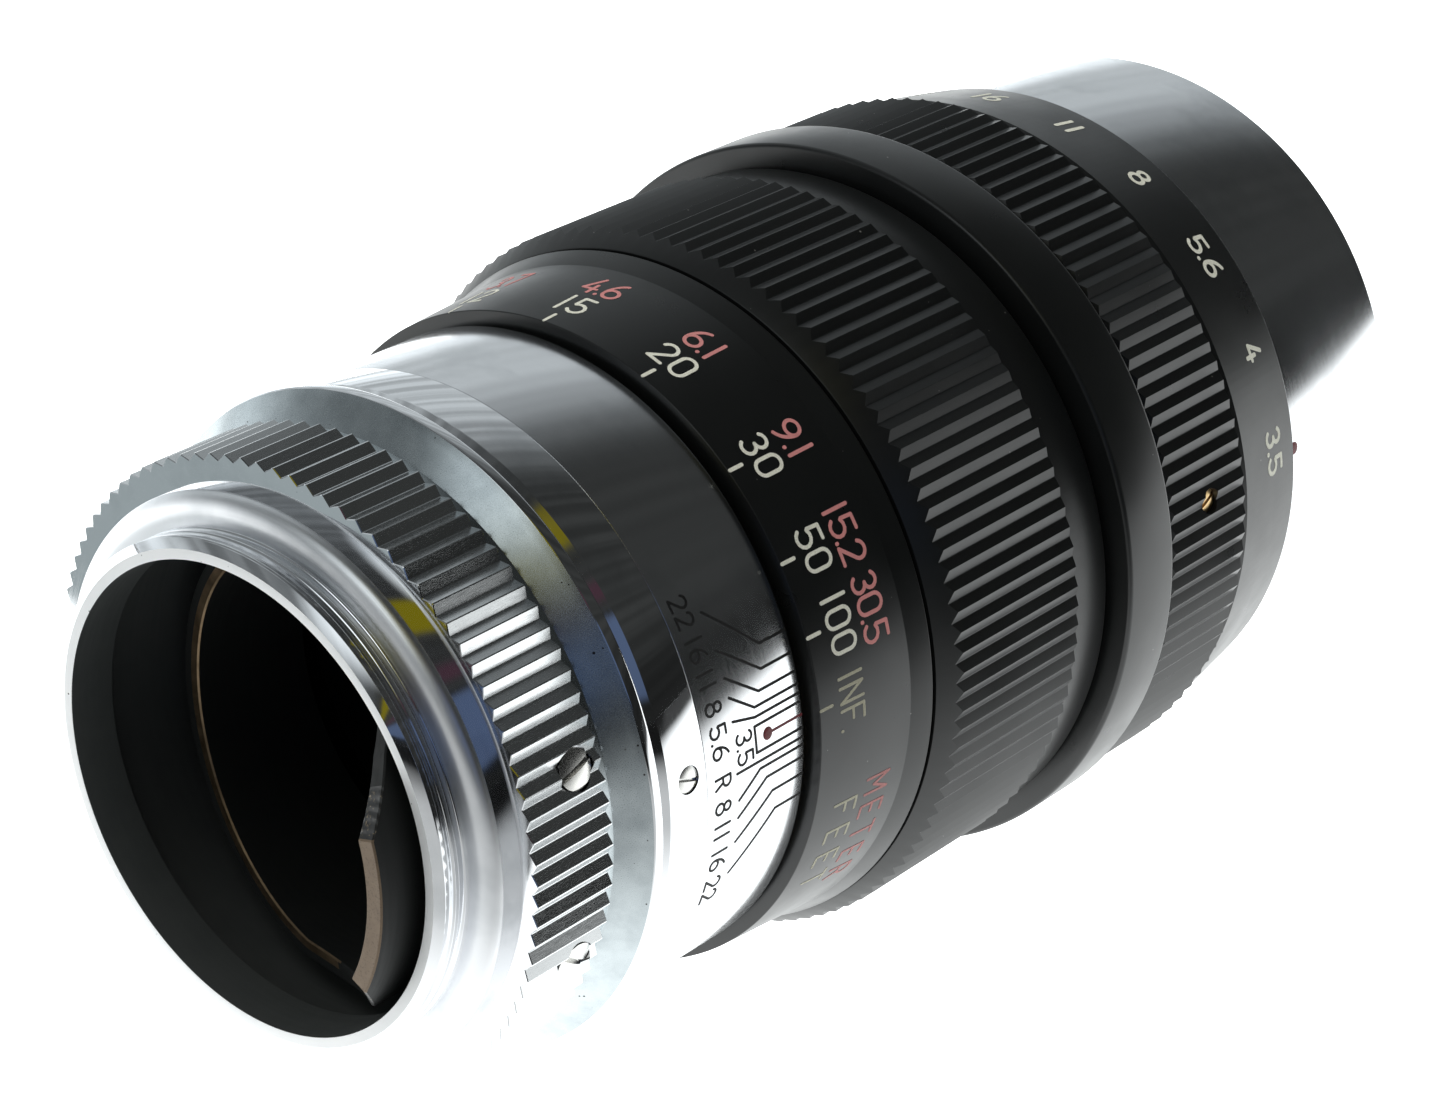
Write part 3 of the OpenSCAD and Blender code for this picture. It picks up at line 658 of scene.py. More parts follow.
def build_grip_ring():
    """V-shaped serrations between a mirror-flat rear face and a plain front face."""
    root = grip.radius - grip_tooth_depth
    edge = 0.06
    angles = []
    columns = []
    for tooth in range(GRIP_TEETH):
        for share, radius in ((0.47, grip.radius), (0.53, grip.radius), (0.985, root), (1.015, root)):
            angles.append((tooth + share) * 360 / GRIP_TEETH)
            columns.append(
                [
                    (ring_bore, grip.rear),
                    (radius - edge, grip.rear),
                    (radius, grip.rear + edge),
                    (radius, grip.front - edge),
                    (radius - edge, grip.front),
                    (ring_bore, grip.front),
                ]
            )
    data = ring_mesh(columns, angles)
    choose_materials(data, lambda radius, station: grip.rear + 0.1 < station < grip.front - 0.1)
    piece = finish_node("grip_ring", data, "mount_unit", [bright_chrome, milled_chrome], 20)
    cutters = []
    for angle in grip_screw_angles:
        seat = radial_matrix(grip.radius, angle, grip_screw_station)
        cutters.append(drill(grip_screw_radius + screw_play, 1.0, seat))
    return cut_away(piece, cutters, 20)


def build_screw(name, seat, body, material, stands_for, radius, height, slot_width, slot_depth):
    """A slotted cheese head with a softened rim, whose top touches a radial frame."""
    steps = 8
    dome = radius * 0.12
    profile = [(radius * i / steps, -dome * (i / steps) ** 2.6) for i in range(steps + 1)]
    profile += [(radius, -height), (0.0, -height)]

    def corner(out, share, up):
        turn = 2 * math.pi * share
        return seat @ (Vector((out * math.cos(turn), out * math.sin(turn), up)) * MM)

    piece = finish_mesh(name, spun(profile, 64, corner), body, [material], stands_for)
    blade = bmesh.new()
    bmesh.ops.create_cube(blade, size=1.0)
    size = Vector((4 * radius, slot_width, 2 * slot_depth)) * MM
    bmesh.ops.transform(blade, matrix=seat @ Matrix.Diagonal((*size, 1)), verts=blade.verts)
    return cut_away(piece, [new_object("slot", blade)])


def build_grip_screws():
    for i, (angle, turn) in enumerate(zip(grip_screw_angles, grip_screw_slots)):
        build_screw(
            f"grip_screw_{i + 1}",
            radial_matrix(grip.radius - 0.12, angle, grip_screw_station, turn),
            "mount_unit", screw_steel, None if i else "grip_screws",
            radius=grip_screw_radius, height=0.85, slot_width=0.42, slot_depth=0.42,
        )


# ---- Collar and barrel -----------------------------------------------------------------------

neck_radius = 23.5
neck_end = 10.2
cone_radius = 25.2
cone_end = 11.55
rim_start = 12.0
rim_end = 12.9
groove_radius = 24.8
groove_end = 13.5
band_start = 14.1
sleeve_radius = 24.0
sleeve_start = 13.0
collar_screw_station = 16.2
collar_screw_angle = 0.3
collar_screw_radius = 1.0


def build_collar():
    """Neck, frosted cone, raised rim, groove and the first band of the barrel."""
    piece = turned(
        "barrel_collar",
        [
            (ring_bore, collar.rear),
            (neck_radius, collar.rear, 0.08),
            (neck_radius, neck_end, 0.05),
            (cone_radius, cone_end, 0.06),
            (collar.radius, rim_start, 0.25),
            (collar.radius, rim_end, 0.3),
            (groove_radius, rim_end + 0.1, 0.05),
            (groove_radius, groove_end, 0.05),
            (barrel.radius, band_start, 0.12),
            (barrel.radius, collar.front, 0.06),
            (sleeve_radius, collar.front),
            (sleeve_radius, sleeve_start),
            (ring_bore, sleeve_start),
        ],
        "mount_unit", [bright_chrome, frosted_chrome],
        choose=lambda radius, station: neck_end - 0.7 < station < rim_start - 0.1,
    )
    seat = radial_matrix(barrel.radius, collar_screw_angle, collar_screw_station)
    return cut_away(piece, [drill(collar_screw_radius + 0.06, 0.8, seat)])


def build_collar_screw():
    return build_screw(
        "collar_screw_finished",
        radial_matrix(barrel.radius - 0.02, collar_screw_angle, collar_screw_station, -18),
        "mount_unit", screw_steel, "collar_screw",
        radius=collar_screw_radius, height=0.74, slot_width=0.27, slot_depth=0.3,
    )


def build_scale_barrel():
    return turned(
        "scale_barrel",
        [
            (sleeve_radius, barrel.rear),
            (barrel.radius, barrel.rear, 0.06),
            (barrel.radius, barrel.front, 0.35),
            (sleeve_radius, barrel.front),
        ],
        "mount_unit", [satin_chrome],
    )


# ---- Black rings -----------------------------------------------------------------------------

FOCUS_RIDGES = 113
IRIS_RIDGES = 115
RIDGE_DEPTH = 0.37
scale_rear_radius = 26.25
scale_cone_start = 38.9
scale_cone_radius = 26.9
focus_root_radius = focus.radius - 0.6
focus_ridge_end = 57.4
iris_root_radius = 29.0
iris_tip_radius = 29.6
iris_ridge_start = 68.8
iris_ridge_end = 79.3
iris_scale_start = 79.8
iris_scale_end = 88.6
iris_scale_rear_radius = 29.2
iris_scale_front_radius = 27.9
iris_screw_angle = -2
iris_screw_station = 74.4
iris_screw_radius = 1.0


def build_distance_ring():
    inner = sleeve_radius + 0.05
    step_radius = 26.0
    step_station = 38.0
    return turned(
        "distance_ring",
        [
            (inner, scale.rear),
            (scale_rear_radius, scale.rear, 0.1),
            (scale_cone_radius, scale_cone_start, 0.3),
            (scale.radius, scale.front, 0.1),
            (step_radius, scale.front),
            (step_radius, step_station),
            (inner, step_station),
        ],
        "focus_ring", [black_paint("distance_ring_paint")],
    )


def knurled(node, ridges, tip, column_at, body, material):
    """A ring with shallow V ridges. column_at(radius) is its outline where they reach a radius."""
    pitch = 360 / ridges
    root = tip - RIDGE_DEPTH
    soft = 0.02
    angles = []
    columns = []
    for ridge in range(ridges):
        for share, radius in (
            (-0.03, tip - soft), (0, tip), (0.03, tip - soft), (0.48, root), (0.52, root)
        ):
            angles.append((ridge + share) * pitch)
            columns.append(column_at(radius))
    return finish_node(node, ring_mesh(columns, angles), body, [material], 24)


def build_focus_grip():
    bore = 26.0
    foot = focus_root_radius - 0.6
    slope = 0.72
    chamfer = 0.5
    focus_end = cover.rear - 0.5

    def column_at(radius):
        return [
            (bore, focus.rear),
            (foot - 0.08, focus.rear),
            (foot, focus.rear + 0.06),
            (radius, focus.rear + 0.06 + (radius - foot) / slope),
            (radius, focus_ridge_end - (radius - focus_root_radius) * chamfer),
            (focus_root_radius, focus_ridge_end),
            (focus_root_radius, focus_end - 0.5),
            (focus_root_radius - 0.15, focus_end - 0.15),
            (focus_root_radius - 0.5, focus_end),
            (bore, focus_end),
        ]

    paint = black_paint("focus_grip_paint", 0.3)
    return knurled("focus_grip", FOCUS_RIDGES, focus.radius, column_at, "focus_ring", paint)


def build_cover_ring():
    bore = 26.15
    return turned(
        "cover_ring",
        [
            (bore, cover.rear),
            (cover.radius, cover.rear, 0.35),
            (cover.radius, cover.front, 0.4),
            (bore, cover.front),
        ],
        "lens_unit", [black_paint("cover_ring_paint")],
    )


def build_aperture_ring():
    """Knurled band, a step, the tapered band of f-numbers and a chamfer worn to metal."""
    bore = 26.2
    chamfer = 0.6
    corner = (iris_scale_front_radius - 0.25, iris_ring.front - 0.12)

    def column_at(radius):
        rise = radius - iris_root_radius
        return [
            (bore, iris_ring.rear),
            (iris_root_radius - 0.25, iris_ring.rear),
            (iris_root_radius, iris_ridge_start),
            (radius, iris_ridge_start + rise * chamfer),
            (radius, iris_ridge_end - rise * chamfer),
            (iris_root_radius, iris_ridge_end),
            (iris_scale_rear_radius, iris_scale_start),
            (iris_scale_front_radius, iris_scale_end),
            corner,
            (iris_scale_front_radius - 0.45, iris_ring.front),
            (bore, iris_ring.front),
        ]

    paint = black_paint("aperture_ring_paint", worn_corner=corner)
    piece = knurled("aperture_ring", IRIS_RIDGES, iris_tip_radius, column_at, "aperture", paint)
    seat = radial_matrix(iris_tip_radius, iris_screw_angle, iris_screw_station)
    return cut_away(piece, [drill(iris_screw_radius + 0.03, 1.2, seat)], 24)


def build_aperture_screw():
    return build_screw(
        "aperture_screw_finished",
        radial_matrix(iris_root_radius + 0.1, iris_screw_angle, iris_screw_station, 24),
        "aperture", plain_brass, "aperture_screw",
        radius=iris_screw_radius, height=0.7, slot_width=0.3, slot_depth=0.35,
    )


# ---- Front barrel and bezel ------------------------------------------------------------------

FILTER_PITCH = 0.75
FILTER_DEPTH = 0.35
FILTER_ROWS = 150
filter_radius = 24.0
nose_bore = 24.9


def build_front_barrel():
    """Plain chrome outside, and a black filter thread in its mouth."""
    inner_end = nose.front - 0.5
    inner_start = nose.front - 5.8
    outside = rounded(
        [
            (nose_bore, inner_start),
            (nose_bore, nose.rear),
            (nose.radius, nose.rear, 0.25),
            (nose.radius, nose.front, 0.3),
            (filter_radius + FILTER_DEPTH, nose.front, 0.12),
            (filter_radius, inner_end),
        ]
    )[1:-1]
    angles = even_angles(240)
    columns = []
    for angle in angles:
        wall = thread_wall(
            inner_start + 0.4, inner_end, filter_radius, -FILTER_DEPTH, FILTER_PITCH, FILTER_ROWS, angle
        )
        columns.append(outside + wall[::-1] + [(filter_radius, inner_start), (nose_bore, inner_start)])
    data = ring_mesh(columns, angles)
    choose_materials(data, lambda radius, station: radius < filter_radius + 0.5 and station < inner_end)
    return finish_node("front_barrel", data, "lens_unit", [satin_chrome, inside_black])


def build_bezel():
    """Black stepped baffle between the front glass and the filter thread."""
    bezel = Span("bezel_ring")
    steps = 4
    depth = 0.9
    inner = 20.9
    outer = bezel.radius - 0.7
    step_width = (outer - inner) / steps
    glass_seat_radius = 21.5
    glass_seat_station = 98.05
    outline = [
        (20.5, bezel.rear),
        (glass_seat_radius, bezel.rear),
        (glass_seat_radius, glass_seat_station),
        (bezel.radius, glass_seat_station),
        (bezel.radius, bezel.front, 0.15),
        (outer, bezel.front, 0.1),
    ]
    for i in range(steps):
        radius = outer - step_width * (i + 1)
        station = bezel.front - depth * (i + 0.5) / steps
        outline += [(radius + step_width, station), (radius, station)]
    outline.append((inner, bezel.front - depth))
    paint = black_paint("bezel_paint", 0.34)
    return turned("bezel_ring", outline, "lens_unit", [paint], segments=240)


# ---- Rangefinder coupling --------------------------------------------------------------------

FILE_CUTS = 3
coupler_outer = 17.0
coupler_inner = 15.5
coupler_middle = (coupler_outer + coupler_inner) / 2
coupler_flange_start = 14.0
tab_angle = 13.5
tab_half_width = 5.96
ramp_half_width = 10.1
ramp_station = -2.3
bronze_width = 0.75
side_station = 4.4
far_station = 7.38
filed_end = coupler.rear + 0.65 * (ramp_station - coupler.rear)


def coupler_edge(angle):
    """Station of the tube's rear edge: flat tab, two ramps, then a slant round the far side."""
    turn = math.radians(angle - tab_angle)
    across = abs(coupler_middle * math.sin(turn))
    if math.cos(turn) < 0:
        return side_station + (far_station - side_station) * -math.cos(turn)
    if across <= tab_half_width:
        return coupler.rear
    stops = (
        (tab_half_width, coupler.rear),
        (ramp_half_width, ramp_station),
        (coupler_middle, side_station),
    )
    for (near, low), (far, high) in zip(stops, stops[1:]):
        if across <= far:
            return low + (high - low) * (across - near) / (far - near)
    return side_station


def coupler_material(radius, station):
    """Bare brass on the tab's end, filed paint on its ramps and bronze round the far side."""
    if not coupler_inner + 0.01 < radius < coupler_outer - 0.01 or station > 10:
        return 0
    if station < coupler.rear + 0.15:
        return 1
    if station < filed_end:
        return 2
    return 3 if station > side_station - 0.5 and radius < coupler_inner + bronze_width else 0


def build_coupler():
    """The rangefinder tube, its edge cut to a tab whose ramps show file marks."""
    tab_turn = math.degrees(math.asin(tab_half_width / coupler_middle))
    ramp_turn = math.degrees(math.asin(ramp_half_width / coupler_middle))
    fine_steps = 36
    turns = [-90.0, 90.0]
    for i in range(fine_steps + 1):
        turn = tab_turn + (ramp_turn - tab_turn) * i / fine_steps
        turns += [turn, -turn]
    angles = sorted(set(even_angles(240)) | {(tab_angle + turn) % 360 for turn in turns})
    edge = 0.12
    columns = []
    for angle in angles:
        rear = coupler_edge(angle)
        filed = (abs((angle - tab_angle + 180) % 360 - 180) - tab_turn) / (ramp_turn - tab_turn)
        ripple = 0.07 * math.sin(2 * math.pi * FILE_CUTS * filed) ** 2 if 0 < filed < 1 else 0.0
        columns.append(
            [
                (coupler_inner, rear + edge),
                (coupler_inner + edge + ripple, rear),
                (coupler_inner + bronze_width, rear + 0.01),
                (coupler_outer - edge, rear),
                (coupler_outer, rear + edge),
                (coupler_outer, coupler_flange_start),
                (coupler.radius, coupler_flange_start),
                (coupler.radius, coupler.front),
                (coupler_inner, coupler.front),
            ]
        )
    data = ring_mesh(columns, angles)
    choose_materials(data, coupler_material)
    materials = [inside_black, rubbed_brass, filed_black, dark_bronze]
    return finish_node("coupler_tube", data, "coupler", materials, 25)


# ---- Glass -----------------------------------------------------------------------------------


def build_glass(node, edge_width, material):
    """A lens with a flat rear face, a straight edge and a front face that bulges to its box."""
    span = Span(node)
    edge = span.rear + edge_width
    bulge = span.front - edge
    curve = (span.radius ** 2 + bulge ** 2) / (2 * bulge)
    steps = 24
    profile = [(0.0, span.rear), (span.radius, span.rear)]
    for i in range(steps + 1):
        radius = span.radius * math.cos(math.pi / 2 * i / steps)
        rise = math.sqrt(curve * curve - radius * radius) - (curve - bulge)
        profile.append((radius if i < steps else 0.0, edge + rise))
    data = spun(profile, 128, lambda radius, share, station: place(radius, 360 * share, station))
    return finish_node(node, data, "lens_unit", [material], 40)


# ---- Engraving -------------------------------------------------------------------------------

HALF = 0.27  # half the width of a figure whose height is 1
POINT_STEP = 0.25
CAP_STEPS = 3
FINE_STEP = 0.7
SUNK = 0.05


def arc(x, y, radius, start, end, steps=10, tall=1.0):
    """Points along an arc, in degrees."""
    points = []
    for i in range(steps + 1):
        turn = math.radians(start + (end - start) * i / steps)
        points.append((x + radius * math.cos(turn), y + tall * radius * math.sin(turn)))
    return points


def oval():
    return arc(0, 1 - HALF, HALF, 0, 180) + arc(0, HALF, HALF, 180, 360) + [(HALF, 1 - HALF)]


def flipped(strokes):
    """The same figure upside down, turned about its centre."""
    return [[(-x, 1 - y) for x, y in stroke] for stroke in strokes]


BAR = [(0, 0), (0, 1)]
SIX = [arc(0, 0.28, 0.27, 0, 360, 20), arc(0.36, 0.28, 0.63, 180, 110, 8, 1.22)]
F_STROKES = [[(-0.22, 0), (-0.22, 1)], [(-0.22, 1), (0.25, 1)], [(-0.22, 0.52), (0.16, 0.52)]]
GLYPHS = {
    "0": [oval()],
    "1": [BAR],
    "2": [arc(0, 0.73, 0.27, 165, -35) + [(-0.27, 0)], [(-0.27, 0), (0.27, 0)]],
    "3": [arc(0, 0.76, 0.24, 150, -90), arc(0, 0.26, 0.26, 90, -150)],
    "4": [[(0.08, 1), (-0.27, 0.28)], [(-0.27, 0.28), (0.27, 0.28)], [(0.12, 0.55), (0.12, 0)]],
    "5": [[(0.24, 1), (-0.2, 1)], [(-0.2, 1), (-0.22, 0.55)], arc(0, 0.29, 0.29, 130, -150)],
    "6": SIX,
    "7": [[(-0.25, 1), (0.25, 1)], [(0.25, 1), (-0.08, 0)]],
    "8": [arc(0, 0.76, 0.22, 0, 360, 18), arc(0, 0.27, 0.27, 0, 360, 20)],
    "9": flipped(SIX),
    ".": [[(0, 0), (0, 0.03)]],
    "F": F_STROKES,
    "E": F_STROKES + [[(-0.22, 0), (0.25, 0)]],
    "T": [[(-0.27, 1), (0.27, 1)], BAR],
    "I": [BAR],
    "N": [[(-0.25, 0), (-0.25, 1)], [(-0.25, 1), (0.25, 0)], [(0.25, 0), (0.25, 1)]],
    "M": [
        [(-0.3, 0), (-0.3, 1)], [(-0.3, 1), (0, 0.35)], [(0, 0.35), (0.3, 1)], [(0.3, 1), (0.3, 0)]
    ],
    "R": [
        [(-0.24, 0), (-0.24, 1)],
        [(-0.24, 1), (0, 1)] + arc(0, 0.75, 0.25, 90, -90)[1:] + [(-0.24, 0.5)],
        [(0.02, 0.5), (0.27, 0)],
    ],
}


class Wall:
    """A cone or cylinder of the lens that carries engraving, between two stations."""

    def __init__(self, start, start_radius, end, end_radius):
        self.start = start
        self.start_radius = start_radius
        self.slope = (end_radius - start_radius) / (end - start)
        self.middle = (start_radius + end_radius) / 2

    def point(self, across, station, lift):
        """across is millimetres round the wall from the index."""
        radius = self.start_radius + (station - self.start) * self.slope + lift
        return place(radius, math.degrees(across / self.middle), station)

    def across(self, angle):
        return math.radians(angle) * self.middle


def figures(wall, text, angle, base, height, pitch=0.8, narrow_step=0.62):
    """Strokes of a text centred at an angle, its letter tops towards the front of the lens."""
    steps = []
    for letter in text:
        share = POINT_STEP if letter == "." else narrow_step if letter in "1I" else 1.0
        steps.append(share * pitch * height)
    cursor = wall.across(angle) - sum(steps) / 2
    strokes = []
    for letter, step in zip(text, steps):
        middle = cursor + step / 2
        for stroke in GLYPHS[letter]:
            strokes.append([(middle + x * height, base + y * height) for x, y in stroke])
        cursor += step
    return strokes


def round_end(end, before, width):
    """Pairs of side points that round off a strip beyond its end, going outwards."""
    direction = (end - before).normalized()
    pairs = []
    for i in range(1, CAP_STEPS + 1):
        turn = math.pi / 2 * i / (CAP_STEPS + 1)
        spot = end + direction * math.sin(turn) * width / 2
        side = Vector((-direction.y, direction.x)) * math.cos(turn) * width / 2
        pairs.append((spot + side, spot - side))
    return pairs


def ribbon(data, wall, stroke, width, lift):
    """A flat closed strip along a stroke with round ends, lying in the wall's surface."""
    points = [Vector(p) for p in stroke]
    looped = (points[0] - points[-1]).length < 1e-4 and len(points) > 3
    if looped:
        points = points[:-1]
    fine = []
    for a, b in zip(points, points[1:] + points[:1] if looped else points[1:]):
        pieces = max(1, math.ceil((b - a).length / FINE_STEP))
        fine.extend(a.lerp(b, k / pieces) for k in range(pieces))
    if not looped:
        fine.append(points[-1])
    pairs = []
    for i, here in enumerate(fine):
        before = fine[i - 1] if i or looped else here
        after = fine[(i + 1) % len(fine)] if i + 1 < len(fine) or looped else here
        direction = (after - before).normalized()
        side = Vector((-direction.y, direction.x)) * width / 2
        pairs.append((here + side, here - side))
    if not looped:
        start = [pair[::-1] for pair in round_end(fine[0], fine[1], width)]
        pairs = start[::-1] + pairs + round_end(fine[-1], fine[-2], width)
    loops = []
    for side, height in ((0, lift), (1, lift), (1, -SUNK), (0, -SUNK)):
        loops.append([data.verts.new(wall.point(*pair[side], height)) for pair in pairs])
    size = len(pairs)
    for i in range(size if looped else size - 1):
        k = (i + 1) % size
        for a, b in ((0, 1), (1, 2), (2, 3), (3, 0)):
            data.faces.new((loops[a][i], loops[a][k], loops[b][k], loops[b][i]))
    if not looped:
        data.faces.new([loop[0] for loop in loops])
        data.faces.new([loop[-1] for loop in loops][::-1])


def engrave(name, wall, strokes, width, body, material, lift=0.02):
    """One piece made of many filled strokes."""
    data = bmesh.new()
    for stroke in strokes:
        ribbon(data, wall, stroke, width, lift)
    bmesh.ops.recalc_face_normals(data, faces=data.faces)
    piece = new_object(name, data)
    piece.data.materials.append(material)
    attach(piece, body)
    return piece


def angle_line(wall, *corners):
    """A straight-cornered line through (station, angle) corners, as separate strokes."""
    made = []
    for (s0, a0), (s1, a1) in zip(corners, corners[1:]):
        made.append([(wall.across(a0), s0), (wall.across(a1), s1)])
    return made


DEGREES_PER_MILLIMETRE = 20.35  # turn of the focusing ring for each millimetre of extension
FOCAL_LENGTH = 135.0
FOOT = 304.8


def distance_mark_angle(feet):
    """Angle of a distance mark: the lens moves out by f x f / (distance - f)."""
    extension = FOCAL_LENGTH ** 2 / (feet * FOOT - FOCAL_LENGTH)
    return -DEGREES_PER_MILLIMETRE * extension


def build_distance_scale():
    """Feet in cream with a tick each, metres in red, and faded marks near the infinity stop."""
    wall = Wall(scale.rear, scale_rear_radius, scale_cone_start, scale_cone_radius)
    tick = (29.45, 30.65)
    feet_base = 31.55
    metre_base = 34.85
    height = 2.35
    caption_angle = 29
    stroke = 0.3
    thin = stroke * 0.8
    cream = []
    red = []
    for feet in (100, 50, 30, 20, 15, 12, 10, 8, 7, 6, 5):
        angle = distance_mark_angle(feet)
        cream += angle_line(wall, (tick[0], angle), (tick[1], angle))
        cream += figures(wall, str(feet), angle, feet_base, height)
        red += figures(wall, f"{feet * FOOT / 1000:.1f}", angle, metre_base, height, 0.7)
    faded = angle_line(wall, (tick[0], 0), (tick[1], 0))
    faded += figures(wall, "INF.", 0.5, feet_base, height, 0.72)
    faded += figures(wall, "FEET", caption_angle, feet_base, height, 1.12)
    faded_red = figures(wall, "METER", caption_angle, metre_base, height, 1.02)
    engrave("distance_feet_marks", wall, cream, stroke, "focus_ring", cream_ink)
    engrave("distance_metre_marks", wall, red, stroke, "focus_ring", red_ink)
    engrave("feet_caption", wall, faded, thin, "focus_ring", faded_ink)
    engrave("metre_caption", wall, faded_red, thin, "focus_ring", faded_red_ink)


def build_aperture_scale():
    wall = Wall(iris_scale_start, iris_scale_rear_radius, iris_scale_end, iris_scale_front_radius)
    base = 84.0
    height = 2.3
    marks = {"3.5": -3, "4": -20, "5.6": -37.5, "8": -54.5, "11": -70, "16": -86.5, "22": -103}
    strokes = []
    for text, angle in marks.items():
        strokes += figures(wall, text, angle, base, height)
    engrave("aperture_marks", wall, strokes, 0.38, "aperture", cream_ink)


def build_depth_scale():
    """Depth-of-field figures, their leader lines and the index on the chrome barrel."""
    wall = Wall(barrel.rear, barrel.radius, barrel.front, barrel.radius)
    end = barrel.front - 0.3
    number_base = 18.9
    number_height = 1.6
    lift = 0.025
    numbers = []
    places = {-25: "22", -18.7: "16", -13.5: "11", -8.7: "8", -3: "5.6", 4: "R"}
    places.update({8.6: "8", 13: "11", 18.6: "16", 25.2: "22"})
    for angle, text in places.items():
        numbers += figures(wall, text, angle, number_base, number_height, narrow_step=0.72)
    line_start = number_base + 2.5
    numbers += figures(wall, "3.5", 0.2, line_start, number_height, 0.76)
    engrave("depth_numbers", wall, numbers, 0.2, "mount_unit", black_ink, lift)
    lines = []
    # Angle at the number, station of the bend, and angle from there to the front edge
    leaders = ((23.5, 25.6, 14.7), (17, 25.1, 10.8), (12.3, 24.4, 7.6), (9, 23.7, 5.4))
    for wide, bend, narrow in leaders:
        for side in (-1, 1):
            corners = ((line_start, side * wide), (bend, side * narrow), (end, side * narrow))
            lines += angle_line(wall, *corners)
    lines += angle_line(wall, (21.3, -5), (23.6, -3.8), (end, -3.8))
    lines += angle_line(wall, (21.2, 4), (end, 4))
    lines += angle_line(wall, (end, -2.3), (23.4, -2.3), (23.4, 2.3), (end, 2.3))
    engrave("depth_lines", wall, lines, 0.21, "mount_unit", black_ink, lift)
    dot = 24.7
    red_line = angle_line(wall, (dot, 0), (end, 0))
    engrave("focus_index_line", wall, red_line, 0.2, "mount_unit", index_red, lift)
    build_dot("focus_index_dot", wall, 0, dot, 0.5, "mount_unit")


def build_dot(name, wall, angle, station, radius, body):
    """A drop of red paint in a drilled index mark."""
    middle = wall.across(angle)

    def corner(out, share, height):
        turn = 2 * math.pi * share
        return wall.point(middle + out * math.cos(turn), station + out * math.sin(turn), height)

    shape = ((1.0, -0.05), (1.0, 0.01), (0.8, 0.045), (0.4, 0.06))
    data = spun([(share * radius, height) for share, height in shape], 32, corner)
    return finish_mesh(name, data, body, [index_red], sharp=50)


def build_front_index():
    wall = Wall(nose.rear, nose.radius, nose.front, nose.radius)
    build_dot("aperture_index_dot", wall, 1, nose.rear + 1.4, 0.55, "lens_unit")


# ---- CAD nodes that stay ---------------------------------------------------------------------

KEPT = {
    "guide_sleeve lens_key coupler_key drive_collar focus_helicoid cam_ring": plain_brass,
    "retaining_ring stop_screw drive_screws": plain_steel,
    "lens_tube front_housing iris_base front_cell middle_cell": inside_black,
    "middle_retainer rear_cell rear_retainer": inside_black,
    "rear_skirt": black_paint("skirt_paint", 0.3),
    "front_retainer": black_paint("front_retainer_paint", 0.35),
    "middle_glass_front middle_glass_rear": inner_coating,
}


def finish_kept_nodes():
    finishes = {name: material for names, material in KEPT.items() for name in names.split()}
    for name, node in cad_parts.items():
        material = blade_finish if name.startswith("blade_") else finishes.get(name)
        if material is not None:
            node.data.materials.clear()
            node.data.materials.append(material)


# ---- Studio ----------------------------------------------------------------------------------

FLOOR_HEIGHT = cad_low.z - 0.0004
NEAR_SIDE = (-0.65, 0.76, 0)  # the way along the floor from the lens to the camera
OPEN_SIDE = (-0.95, 0.3, 0)  # the way to the side of the table that has no lamp over it
WINDOW = (0.07, 0.86, 0.5)  # the way to a small window
NO_COLOR = (0.0, 0.0, 0.0, 1)
COLORED_THINGS = (  # first and last degree round the optical axis, and colour
    (60.0, 79.0, (0.19, 0.16, 0.007, 1)),
    (40.0, 50.0, (0.065, 0.032, 0.045, 1)),
    (6.0, 38.0, (0.08, 0.115, 0.2, 1)),
)


def lamp(n, color, strength):
    """Finishes a surface that only glows."""
    n.feed(n.shader.inputs["Emission Strength"], strength)
    return n.finish(NO_COLOR, 1.0, Emission_Color=color, Specular_IOR_Level=0.0)


def flat_disc(name, radius, height, material):
    data = bmesh.new()
    bmesh.ops.create_circle(data, cap_ends=True, segments=96, radius=radius)
    disc = new_object(name, data)
    disc.location = (0, 0, height)
    disc.data.materials.append(material)
    return disc


def build_floor():
    """White paper that glows evenly, and over it the light that only reflections see, dimmed by a
    painted shadow of the lens and the camera.
    """
    paper = Nodes("floor_paper").finish(
        (0.9, 0.9, 0.9, 1), 0.8, Emission_Color=(0.98, 1.0, 1.0, 1), Emission_Strength=1.2
    )
    flat_disc("floor", 6.0, FLOOR_HEIGHT, paper)
    n = Nodes("floor_light")
    spot = n.coordinates("Object")
    towards_camera = n.along(spot, NEAR_SIDE)
    # Painted shadow: the light dims close to the lens, where the lens shades the floor, and again
    # further towards the camera, which shades it too.
    near = n.math(
        "MULTIPLY",
        n.ease(towards_camera, -0.005, 0.06, 1.0, 0.32),
        n.ease(towards_camera, 0.08, 0.3, 1.0, 0.5),
    )
    open_edge = n.ease(n.along(spot, OPEN_SIDE), 0.09, 0.28, 1.0, 0.03)
    strength = n.math("MULTIPLY", n.math("MULTIPLY", near, open_edge), 1.9)
    light = lamp(n, (0.97, 1.0, 1.0, 1), strength)
    flat_disc("floor_light", 5.9, FLOOR_HEIGHT + 0.0001, light).visible_camera = False


def build_ceiling():
    """Soft light from above that fills the paint but does not show in the polished metal."""
    light = lamp(Nodes("ceiling_light"), (1.0, 1.0, 0.98, 1), 1.9)
    ceiling = flat_disc("ceiling", 0.45, 0.6, light)
    ceiling.visible_camera = False
    ceiling.visible_glossy = False


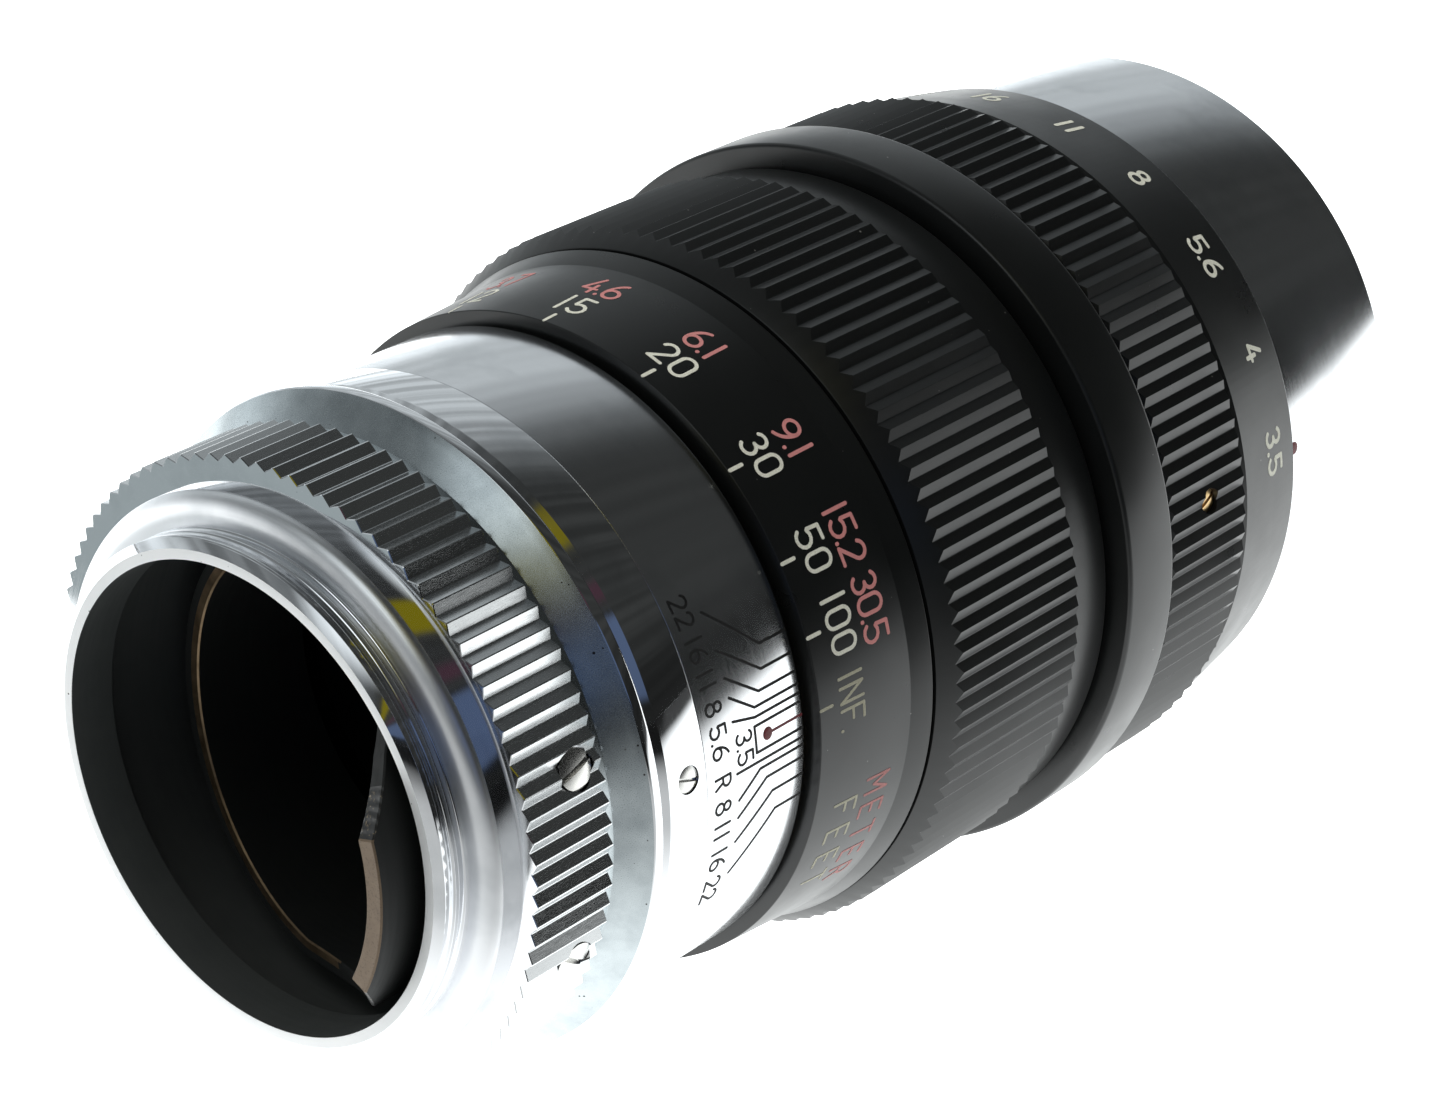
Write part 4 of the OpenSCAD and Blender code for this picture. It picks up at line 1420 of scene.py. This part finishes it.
def build_grey_card():
    """A strip of grey card on the floor, seen only in the polished faces."""
    start = Vector((0.054, 0.066))
    end = Vector((0.12, 0.09))
    run = (end - start).normalized()
    side = Vector((-run.y, run.x)) * 0.03
    height = FLOOR_HEIGHT + 0.0004
    data = bmesh.new()
    corners = (start + side, start - side, end - side, end + side)
    data.faces.new([data.verts.new((*corner, height)) for corner in corners])
    card = new_object("grey_card", data)
    card.data.materials.append(lamp(Nodes("grey_card_paint"), (0.33, 0.38, 0.39, 1), 1.0))
    card.visible_camera = False


def build_sky():
    """A dark room: a long soft box beyond the lens, and a small window behind its mount."""
    world = bpy.data.worlds.new("studio")
    bpy.context.scene.world = world
    n = Nodes(world)
    direction = n.coordinates("Generated")
    x, y, z = n.split(direction)
    # Degrees round the optical axis, from the near horizon (0) over the top to the far one (180)
    turn = n.math("MULTIPLY", n.math("ARCTAN2", z, n.math("MULTIPLY", x, -1.0)), math.degrees(1))
    box = n.math("MULTIPLY", n.ease(turn, 84.0, 142.0, 0.0, 0.5), n.ease(y, 0.1, 0.5, 1.0, 0.3))
    skyline = n.ease(turn, 162.0, 176.0, 0.0, 0.5)
    gloom = n.ease(turn, 4.0, 34.0, 0.013, 0.035)
    window = n.ease(n.along(direction, WINDOW), 0.92, 0.985, 0.0, 1.1)
    streaks = n.node("ShaderNodeTexNoise", noise_dimensions="1D")
    n.link(turn, streaks.inputs["W"])
    streaks.inputs["Scale"].default_value = 0.22
    streaks.inputs["Detail"].default_value = 3.0
    light = n.math("ADD", n.math("ADD", box, skyline), gloom)
    light = n.math("MULTIPLY", light, n.ease(streaks.outputs[0], 0.35, 0.65, 0.78, 1.22))
    light = n.math("ADD", light, window)
    tint = n.blend(n.ease(turn, 70.0, 110.0), (1.0, 1.05, 1.03, 1), (0.93, 1.0, 1.03, 1))
    color = n.scaled(tint, light)
    # Coloured things beside the camera, which only the mount's polished slopes reflect
    behind = n.ease(y, 0.42, 0.55)
    for low, high, seen in COLORED_THINGS:
        inside = n.math("MULTIPLY", n.ease(turn, low, low + 4), n.ease(turn, high - 4, high, 1.0, 0.0))
        color = n.blend(n.math("MULTIPLY", inside, behind), color, seen)
    n.link(color, n.tree.nodes["Background"].inputs["Color"])


def build_studio():
    build_sky()
    build_floor()
    build_ceiling()
    build_grey_card()
    bpy.context.scene.view_settings.view_transform = "Standard"


def build_camera():
    """The photographer's place: behind the mount, to its side and a little above."""
    data = bpy.data.cameras.new("camera")
    data.lens = 92.11
    data.sensor_width = 36.0
    data.clip_start = 0.01
    data.clip_end = 10.0
    camera = bpy.data.objects.new("camera", data)
    forward = Vector((0.5849, -0.6815, -0.4399)).normalized()
    right = forward.cross(Vector((0, 0, 1))).normalized()
    up = right.cross(forward)
    matrix = Matrix((right, up, -forward)).transposed().to_4x4()
    matrix.translation = Vector((-0.17175, 0.15107, 0.12949))
    camera.matrix_world = matrix
    bpy.context.scene.collection.objects.link(camera)
    bpy.context.scene.camera = camera


build_camera()
build_studio()
finish_kept_nodes()
build_mount_ring()
build_grip_ring()
build_grip_screws()
build_collar()
build_collar_screw()
build_scale_barrel()
build_coupler()
build_distance_ring()
build_focus_grip()
build_cover_ring()
build_aperture_ring()
build_aperture_screw()
build_front_barrel()
build_bezel()
build_glass("front_glass", 3.0, front_coating)
build_glass("rear_glass", 2.2, inner_coating)
build_distance_scale()
build_aperture_scale()
build_depth_scale()
build_front_index()
